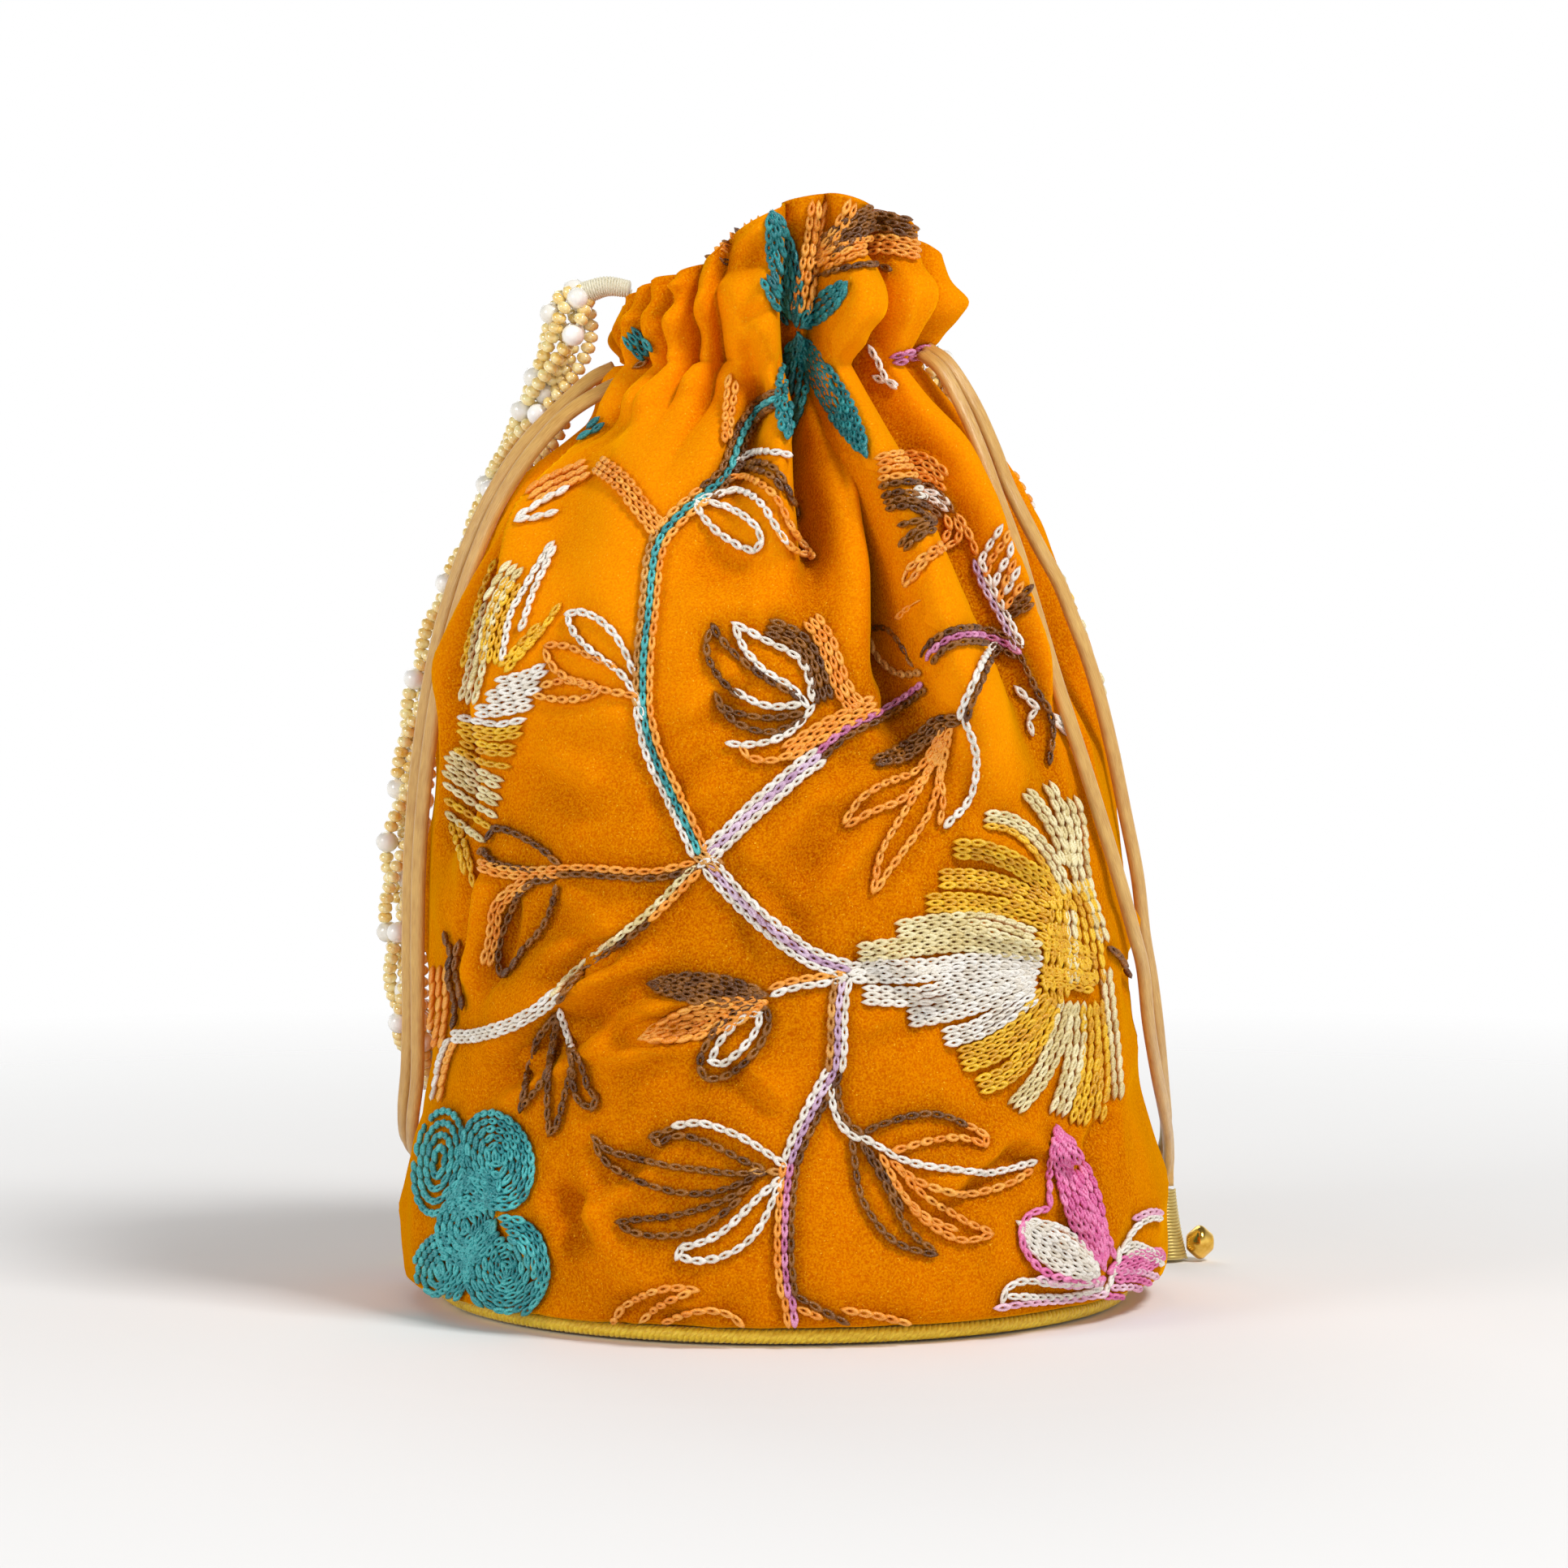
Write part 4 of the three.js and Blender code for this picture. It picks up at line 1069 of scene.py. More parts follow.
def give_way(points, clearance):
    """Moves points of the cloth inwards until they clear the cords, and says how many moved."""
    moved = 0
    for point in points.reshape(-1, 3):
        place, index, far = cord_tree.find(point)
        if far > CORD_NEAR:
            continue
        way = np.array(place) - point
        out = unit(np.array([place[0], place[1], 0.0]))
        gap = way @ out
        beside = np.linalg.norm(way - gap * out)
        need = (clearance - gap) * cord_press[index] * (1 - ease(FURROW_FLOOR, FURROW_EDGE, beside))
        if need > 0:
            point -= out * need
            moved += 1
    return moved


print(give_way(rings[:len(outer)], CORD_CLEARANCE), "outer and", end=" ")
print(give_way(rings[len(outer) + 2:], CORD_CLEARANCE + CLOTH), "inner points give way to the cords")

# %% The bag's faces
def loft(rings):
    """Faces between rings of as many points each, where the last ring joins the first."""
    count = rings.shape[1]
    i = np.arange(count)
    j = (i + 1) % count
    faces = []
    for r in range(len(rings)):
        here, following = r * count, (r + 1) % len(rings) * count
        faces.append(np.stack([here + i, here + j, following + j, following + i], axis=1))
    return np.concatenate(faces)


bag = mesh_piece("velvet_bag", rings.reshape(-1, 3), loft(rings))
# the velvet's finish reads this for its painted shade and painted highlight
carry(bag, "hollow", hollows)
print("bag:", len(rings), "rings of", AROUND)

# %% [markdown]
# ## Velvet
# Velvet is a dense upright pile. Its threads glow where they are seen from the side, so lit edges are
# bright and the hollows turn deep orange. The pile's glow is the shader's sheen. On top of it the colour
# paints shade into the hollows and a highlight onto the folds' crowns, from a value that the mesh carries,
# and noise gives the brushed patches, the pile's grain and bright specks of painted sparkle.

# %% The velvet's finish
velvet = Finish(
    "orange_velvet", Roughness=0.95, Specular_IOR_Level=0.0, Sheen_Weight=0.8, Sheen_Roughness=0.42,
    Sheen_Tint=paint("#ffbe00"),
)
grain = velvet.place.noise(2300, 2)
cloud = velvet.place.noise(34, 3)
brushed = velvet.place.scaled(1, 1, 0.6).noise(110, 3)
nap = velvet.place.scaled(1, 1, 0.35).noise(420, 2)
# painted shade: the colour darkens where the cloth lies in a hollow, and the inside darker still; cloud, brushed and
# nap are the pile's own uneven tone
hollow = velvet.value("hollow").between(-1.0, 0.3)
painted_shade_and_tone = hollow * 0.5 + cloud.between(0.3, 0.7) * 0.22 + brushed.between(0.35, 0.65) * 0.18 + nap * 0.1
# painted shade along the rows of stitches, where the cloth is pressed in
painted_shade_and_tone = painted_shade_and_tone - velvet.value("pressed") * 0.3
# painted highlight: the folds' crowns turn bright yellow-orange
painted_crown_highlight = velvet.value("hollow").between(0.15, 1.0) * 0.6
pile_tone_and_painted_light = painted_crown_highlight.mix(painted_shade_and_tone.mix(paint("#882c00"), paint("#e27200")), paint("#fc9206"))
# painted sparkle: bright specks where single fibres would catch the light
painted_sparkle = velvet.place.noise(2400, 1).between(0.69, 0.77)
# the grain's lighter flecks are partly the pile's own tone and partly painted sparkle
velvet_tone_and_painted_light = (painted_sparkle * 0.6).mix((grain.between(0.35, 0.65) * 0.4).mix(pile_tone_and_painted_light, paint("#ffac04")), paint("#ffcc34"))
velvet.feed("Base Color", velvet_tone_and_painted_light)
velvet.feed("Roughness", grain * 0.2 + 0.75)
velvet.relief(grain * 0.6 + nap * 0.4, 0.3 * MM, 0.6)
dress(bag, velvet, "velvet", "velvet_pouch")

# %% [markdown]
# ## The base
# The bag stands on a stiff round panel, and a yellow twisted cord is sewn round its edge. The cord is
# three plies that turn round each other; each is swept along its own line round the base.

# %% The piping's plies
PIPING_RADIUS = 1.6 * MM
PLY_RADIUS, PLY_OFFSET = 0.84 * MM, 0.78 * MM
PIPING_TURNS = 122
STEPS_PER_TURN = 10
UP = np.array([0, 0, 1.0])
steps = PIPING_TURNS * STEPS_PER_TURN
round_base = 2 * math.pi * np.arange(steps) / steps
outward = np.stack([np.cos(round_base), np.sin(round_base), np.zeros(steps)], axis=1)
middle_line = outward * HALF_BASE + (0, 0, PIPING_RADIUS)
plies = []
for ply in range(3):
    turn = (round_base * PIPING_TURNS + ply * 2 * math.pi / 3)[:, None]
    line = middle_line + PLY_OFFSET * (np.cos(turn) * outward + np.sin(turn) * UP)
    frames = carried_frames(line, UP, loop=True)
    plies.append(sweep(line, oval(PLY_RADIUS, PLY_RADIUS, 6), frames, loop=True))
piping = mesh_piece("twisted_piping", *joined(plies))
print("piping of three plies,", PIPING_TURNS, "turns")

# %% The piping's and the panel's finishes
cord_yellow = Finish("piping_cord", Roughness=0.5, Sheen_Weight=0.2, Sheen_Roughness=0.4)
thread = cord_yellow.uv.scaled(9, 1.2, 1).noise(1, 2)
cord_yellow.colour(thread.between(0.3, 0.7), "#dcb00c", "#ffe444")
cord_yellow.relief(thread, 0.08 * MM, 0.6)
dress(piping, cord_yellow, "piping", "base_piping")

base_cloth = Finish("base_cloth", Roughness=0.9, Sheen_Weight=0.2, Sheen_Roughness=0.5)
WEAVE_WAVES = 9000.0  # radians in a metre
warp, weft = ((base_cloth.place.axis(axis) * WEAVE_WAVES).wave() for axis in (0, 1))
weave = warp * weft + base_cloth.place.noise(60, 3) * 0.5
base_cloth.colour(weave.between(0.1, 1.2), "#c47806", "#eda01c")
base_cloth.relief(weave, 0.15 * MM, 0.5)
panel = frame["nodes"]["base_panel"]
panel.data.materials.clear()
panel.data.materials.append(base_cloth.material)
print("the panel keeps its solid and gets a woven cloth")

# %% [markdown]
# ## The bead handle
# The handle is a bundle of strings of clear, gold-lined glass beads, five twisted round two, with a
# pearl here and there. One glass bead and one pearl are modelled, and every other one is a copy of
# them that is turned along its string.

# %% The handle's routes, in millimetres
HANDLE_ROUTE = [
    (-42.4, 2.6, 199.4), (-43.4, 4.2, 193.4), (-45.6, 6.6, 186.0), (-49.2, 10.4, 177.0),
    (-53.4, 15.4, 168.0), (-57.2, 19.4, 160.0), (-61.2, 22.0, 150.0), (-64.6, 23.6, 141.0),
    (-68.0, 24.2, 131.0), (-70.5, 24.4, 120.0), (-72.4, 24.2, 107.0), (-74.2, 23.0, 95.0),
    (-75.4, 21.6, 82.0), (-75.8, 21.8, 66.0), (-75.2, 24.8, 52.0), (-73.2, 31.6, 43.6),
    (-68.4, 42.0, 37.4), (-60.0, 53.0, 35.2), (-47.5, 63.4, 36.0), (-31.0, 70.8, 40.4),
    (-13.5, 74.2, 51.0), (1.5, 74.2, 67.0), (12.5, 72.2, 86.0), (20.8, 67.8, 105.0),
    (27.0, 61.8, 123.0), (31.4, 55.6, 139.6), (34.0, 48.0, 154.6), (34.6, 38.4, 168.2),
    (32.8, 28.0, 180.4), (29.2, 21.6, 189.6),
]
HANDLE_WRAPS = {
    "handle_wrap_left": [(-31.0, 0.4, 202.6), (-35.6, 1.0, 203.2), (-40.4, 2.0, 201.8)],
    "handle_wrap_right": [(28.7, 21.1, 190.8), (26.9, 19.4, 193.4), (25.2, 18.2, 195.2)],
}
HANDLE_STEPS = 900
HANDLE_OUT = 3.6 * MM  # beside the cords the loose strings lie further out than the solid's middle line
handle_line = smooth_route([(-39.6, 1.9, 202.0), *HANDLE_ROUTE], HANDLE_STEPS) * MM
beside_cords = bump((handle_line[:, 2] - 0.1) / 0.058)
handle_line[:, 0] -= HANDLE_OUT * beside_cords * ease(-0.05, -0.066, handle_line[:, 0])
handle_frames = carried_frames(handle_line)
print(f"the handle is {length_of(handle_line):.3f} m long")

# %% One glass bead and one pearl
GLASS_RADIUS, GLASS_LENGTH = 1.55 * MM, 2.2 * MM
PEARL_RADIUS = 2.35 * MM


def template(piece):
    """The points and faces of a small model, which is then removed."""
    co = np.array([v.co for v in piece.data.vertices])
    faces = [tuple(face.vertices) for face in piece.data.polygons]
    bpy.data.objects.remove(piece)
    return co, faces


def glass_bead():
    """A short rounded barrel along Z."""
    bpy.ops.mesh.primitive_uv_sphere_add(segments=9, ring_count=6, radius=GLASS_RADIUS)
    bead = bpy.context.object
    shape_points(bead, lambda co: co * (1, 1, 0.5 * GLASS_LENGTH / GLASS_RADIUS * 1.06))
    shape_points(bead, lambda co: at_girth(co, 1 + 0.18 * np.abs(co[:, 2]) / GLASS_LENGTH))
    return template(bead)


def pearl():
    """A ball, slightly off round, as freshwater pearls are."""
    bpy.ops.mesh.primitive_uv_sphere_add(segments=12, ring_count=8, radius=PEARL_RADIUS)
    ball = bpy.context.object
    shape_points(ball, lambda co: co * (1, 0.96, 0.94))
    return template(ball)


GLASS, PEARL = glass_bead(), pearl()
print("glass bead faces:", len(GLASS[1]), "pearl faces:", len(PEARL[1]))

# %% Strings of beads
STRINGS, OUTER_STRINGS = 7, 5
STRING_TWISTS = 6.5
PEARL_EVERY = 23 * MM
STRING_SPREAD, UNEVEN_SPREAD = 3.4 * MM, 0.2 * MM  # how far out from the middle line, and how unevenly
LOOSE_SPREAD, LOOSE_AT, LOOSE_REACH = 1.2 * MM, 0.07, 0.08  # more of it where the left end hangs loose
INNER_SHARE = 0.3  # how much of that spread the inner strings have
PEARL_LEAST, PEARL_MORE = 0.55, 0.6  # shares of PEARL_EVERY: the least, and the most that chance adds
GLASS_LEAST, GLASS_MORE = 1.02, 0.06  # the same for the glass beads, as shares of a bead's length
FINE_STEPS = 4000
STRING_RADIUS = 0.5 * MM


def copies(model, places, axes, width=1):
    """Copies of a small model, with its X, Y and Z laid along three directions at each place."""
    co, faces = model
    x, y, z = (axis[:, None] for axis in axes)
    points = places[:, None] + co[None, :, 0:1] * x + width * co[None, :, 1:2] * y + co[None, :, 2:3] * z
    every = [tuple(c + n * len(co) for c in face) for n in range(len(places)) for face in faces]
    return points.reshape(-1, 3), every


def bead_string(index):
    """The places and directions of one string's glass beads and pearls, and the string's line."""
    run = np.linspace(0, 1, len(handle_line))
    sway = 0.5 * np.sin(9 * run * math.pi + index)
    turn = 2 * math.pi * (index / OUTER_STRINGS + STRING_TWISTS * run) + sway
    wide = LOOSE_SPREAD * bump((run - LOOSE_AT) / LOOSE_REACH)
    spread = STRING_SPREAD + wide + UNEVEN_SPREAD * np.sin(23 * run + 2 * index)
    if index >= OUTER_STRINGS:
        spread = INNER_SHARE * spread
    spread = spread * ease(-0.006, 0.014, run) * (1 - ease(0.985, 1.02, run))
    _, side, up = handle_frames
    line = handle_line + spread[:, None] * (np.cos(turn)[:, None] * side + np.sin(turn)[:, None] * up)
    long = length_of(line)
    fine = even_steps(line, FINE_STEPS)
    at, glass_at, pearl_at = 0.0, [], []
    next_pearl = (index % 2) * 2.2 * GLASS_LENGTH
    while at < long - GLASS_LENGTH:
        if at >= next_pearl:
            pearl_at.append(at + PEARL_RADIUS)
            at += 2 * PEARL_RADIUS
            next_pearl = at + PEARL_EVERY * (PEARL_LEAST + PEARL_MORE * chance.random())
        else:
            glass_at.append(at + GLASS_LENGTH / 2)
            at += GLASS_LENGTH * (GLASS_LEAST + GLASS_MORE * chance.random())
    along, side, up = carried_frames(fine)
    placed = []
    for wanted in (glass_at, pearl_at):
        i = np.clip((np.array(wanted) / long * FINE_STEPS).astype(int), 0, FINE_STEPS)
        placed.append((fine[i], (side[i], up[i], along[i])))
    return placed, fine[::8]


glass_parts, pearl_parts, string_lines = [], [], []
for index in range(STRINGS):
    (glass_places, pearl_places), line = bead_string(index)
    glass_parts.append(copies(GLASS, *glass_places))
    pearl_parts.append(copies(PEARL, *pearl_places))
    string_lines.append(line)
lots = [chance.random(len(part[0]) // len(GLASS[0])) for part in glass_parts]
pearl_count = sum(len(part[0]) // len(PEARL[0]) for part in pearl_parts)
print(sum(len(lot) for lot in lots), "glass beads,", pearl_count, "pearls")

# %% Beads, pearls and strings as one piece
section = oval(STRING_RADIUS, STRING_RADIUS, 5)
core_parts = [sweep(line, section, carried_frames(line))[:2] for line in string_lines]
by_kind = [joined([(*part, []) for part in parts]) for parts in (glass_parts, pearl_parts, core_parts)]
all_points, all_faces, _ = joined(by_kind)
handle = mesh_piece("bead_strings", all_points, all_faces)
glass_lot = np.repeat(np.concatenate(lots), len(GLASS[0]))
carry(handle, "lot", np.concatenate([glass_lot, np.full(len(all_points) - len(glass_lot), 0.5)]))

glass = Finish(
    "gold_lined_glass", Roughness=0.1, Specular_IOR_Level=0.9, Coat_Weight=1.0, Coat_Roughness=0.03,
)
tint = glass.value("lot")
lined = glass.place.noise(700, 1).between(0.35, 0.65)
glass.colour(lined * 0.55 + tint * 0.45, "#f0bf4a", "#fff3b4")
pearl_white = Finish("pearl", Roughness=0.22, Specular_IOR_Level=0.6, Coat_Weight=0.7, Coat_Roughness=0.12)
blush = pearl_white.place.noise(160, 2)
pearl_white.colour(blush.between(0.35, 0.65), "#eee9dc", "#fffdf8")
cream = Finish("wound_cotton", Roughness=0.75, Sheen_Weight=0.3, Sheen_Roughness=0.5)
strand = cream.uv.scaled(6, 1.5, 1).noise(1, 2)
cream.colour(strand.between(0.3, 0.7), "#cfc6a4", "#f2ecd6")
cream.relief(strand, 0.06 * MM, 0.6)
dress(handle, glass, "glass_beads", "bead_handle")
handle.data.materials.append(pearl_white.material)
handle.data.materials.append(cream.material)
kinds = np.repeat([0, 1, 2], [len(faces) for _, faces, _ in by_kind])
handle.data.polygons.foreach_set("material_index", kinds.tolist())

# %% The handle's wrapped ends
WRAP_THREAD = 0.3 * MM
WRAP_PITCH = 1.75  # from turn to turn, in radii of the thread
WRAP_STEPS, CORE_STEP = 400, 20


def wrapped_end(name, points, start_radius, end_radius):
    """A thread wound closely round a short core along the route."""
    line = smooth_route(points, WRAP_STEPS) * MM
    frames = carried_frames(line)
    turns = length_of(line) / (WRAP_PITCH * WRAP_THREAD)
    share = np.linspace(0, 1, len(line))[:, None]
    around = 2 * math.pi * turns * share
    radius = start_radius + (end_radius - start_radius) * share
    wound = line + radius * (np.cos(around) * frames[1] + np.sin(around) * frames[2])
    thread = sweep(wound, oval(WRAP_THREAD, WRAP_THREAD, 5), carried_frames(wound))
    few = slice(None, None, CORE_STEP)
    core = sweep(line[few], oval(1, 1, 14), tuple(f[few] for f in frames), scale=radius[few, 0])
    wrap = mesh_piece(f"wound_{name}", *joined([thread, core]))
    return dress(wrap, cream, "wrap_thread", name)


wrapped_end("handle_wrap_left", HANDLE_WRAPS["handle_wrap_left"], 1.5 * MM, 2.1 * MM)
wrapped_end("handle_wrap_right", HANDLE_WRAPS["handle_wrap_right"], 2.1 * MM, 1.6 * MM)

# %% [markdown]
# ## The embroidery's stitch
# Flowers and vines are sewn in chain stitch: each stitch is a small loop of thread that comes out of
# the loop before it. A texture could show them, but they stand a millimetre proud of the pile, so
# each is a real loop. One loop is modelled from a torus and copied along every row.

# %% One chain stitch
STITCH_LENGTH, STITCH_WIDTH, STITCH_STRAND = 4.1 * MM, 1.7 * MM, 0.78 * MM
STRAND_SHARE = 0.7  # the strand's radius as a share of the loop's
STITCH_PITCH = 2.75 * MM
ROW_GAP, RING_GAP = 8.4, 7.6  # between neighbouring rows and rings, in squares of the chart


def chain_link():
    """A loop of thread lying along X, wider at its far end; its points, faces and UVs."""
    bpy.ops.mesh.primitive_torus_add(
        major_segments=10, minor_segments=4, major_radius=1.0, minor_radius=STRAND_SHARE, generate_uvs=True,
    )
    link = bpy.context.object
    reach = 1 + STRAND_SHARE
    half = np.array([STITCH_LENGTH / 2, STITCH_WIDTH / 2]) / reach

    def drawn_out(co):
        share = co[:, 0] / reach
        narrow = 0.45 + 0.55 * ease(-1.0, 0.0, share) - 0.2 * ease(0.4, 1.0, share)
        lift = 0.45 * STITCH_STRAND * share
        x, y, z = co.T
        return np.stack([x * half[0], y * half[1] * narrow, z * STITCH_STRAND + lift], axis=1)

    shape_points(link, drawn_out)
    uvs = np.array([loop.uv for loop in link.data.uv_layers.active.data])
    return template(link), uvs


LINK, LINK_UVS = chain_link()
print("a stitch has", len(LINK[1]), "faces")

# %% [markdown]
# ## The embroidery's chart
# The pattern is written on a chart with 6.1 squares to the millimetre, x to the right and y down, and
# the chart is sent through the camera onto the cloth. So a leaf that runs over a fold breaks there as
# the sewn one does. Rows name their threads from the right hand of someone who walks along the points.

# %% Stems and outlines
STEMS = [
    ("white teal orange", [
        (793, 868), (796, 890), (803, 918), (814, 948), (829, 978), (845, 1012), (862, 1050),
    ]),
    ("tan teal orange", [
        (818, 656), (808, 680), (804, 710), (801, 745), (797, 780), (794, 812), (793, 868),
    ]),
    ("orange teal orange", [(872, 607), (845, 628), (818, 656)]),
    ("brown teal brown", [(962, 490), (938, 502), (920, 525), (908, 553), (897, 583), (872, 607)]),
    ("orange orange orange", [(738, 572), (765, 592), (787, 620), (812, 652)]),
    ("white lilac white", [(872, 1054), (900, 1028), (930, 998), (960, 972), (985, 950), (1010, 932)]),
    ("brown orchid", [(1010, 932), (1040, 905), (1080, 884), (1110, 868), (1140, 846)]),
    ("orange orange orange", [(970, 928), (1010, 903), (1045, 884), (1078, 868)]),
    ("brown orchid brown", [
        (1143, 812), (1160, 793), (1185, 783), (1210, 783), (1235, 790), (1256, 803),
    ]),
    ("brown", [(1256, 803), (1268, 830), (1281, 856), (1294, 876), (1298, 900), (1293, 940)]),
    ("lilac white", [(1205, 690), (1216, 720), (1230, 745), (1243, 770), (1256, 797)]),
    ("white brown", [(1230, 795), (1215, 815), (1205, 840), (1195, 862), (1188, 884)]),
    ("white", [(1188, 884), (1197, 905), (1204, 932), (1203, 958), (1194, 988), (1165, 1018)]),
    ("white lilac white", [
        (874, 1066), (900, 1095), (922, 1117), (945, 1138), (975, 1163), (1005, 1182), (1045, 1195),
    ]),
    ("white white", [(1045, 1195), (1070, 1192), (1095, 1186)]),
    ("tan lilac white", [(1040, 1204), (1035, 1228), (1033, 1260), (1033, 1290), (1030, 1318)]),
    ("white lilac brown", [(1030, 1318), (1012, 1350), (998, 1378), (985, 1405), (975, 1432)]),
    ("orange orchid brown", [(975, 1432), (970, 1470), (967, 1520), (968, 1560), (972, 1596)]),
    ("orange orchid", [(972, 1596), (976, 1632)]),
    ("white orange", [(950, 1222), (980, 1212), (1010, 1208), (1040, 1203)]),
    ("orange brown", [(858, 1066), (830, 1074), (800, 1078), (760, 1076), (720, 1073), (690, 1074)]),
    ("orange orange", [(690, 1074), (650, 1076), (620, 1074), (592, 1066)]),
    ("cream orange", [(860, 1070), (840, 1090), (820, 1111), (800, 1130)]),
    ("cream brown", [(800, 1130), (775, 1150), (750, 1168), (725, 1187), (700, 1212), (686, 1230)]),
    ("white white", [(690, 1222), (670, 1240), (640, 1258), (610, 1270), (580, 1277), (560, 1277)]),
    ("white orange", [(558, 1282), (549, 1302), (543, 1330), (539, 1355)]),
    ("white brown", [(1029, 1335), (1031, 1362), (1042, 1386), (1060, 1400)]),
    ("white", [
        (1060, 1400), (1085, 1413), (1110, 1428), (1150, 1438), (1190, 1443), (1230, 1444),
        (1275, 1432),
    ]),
    ("white", [(690, 1245), (698, 1268), (706, 1292)]),
]
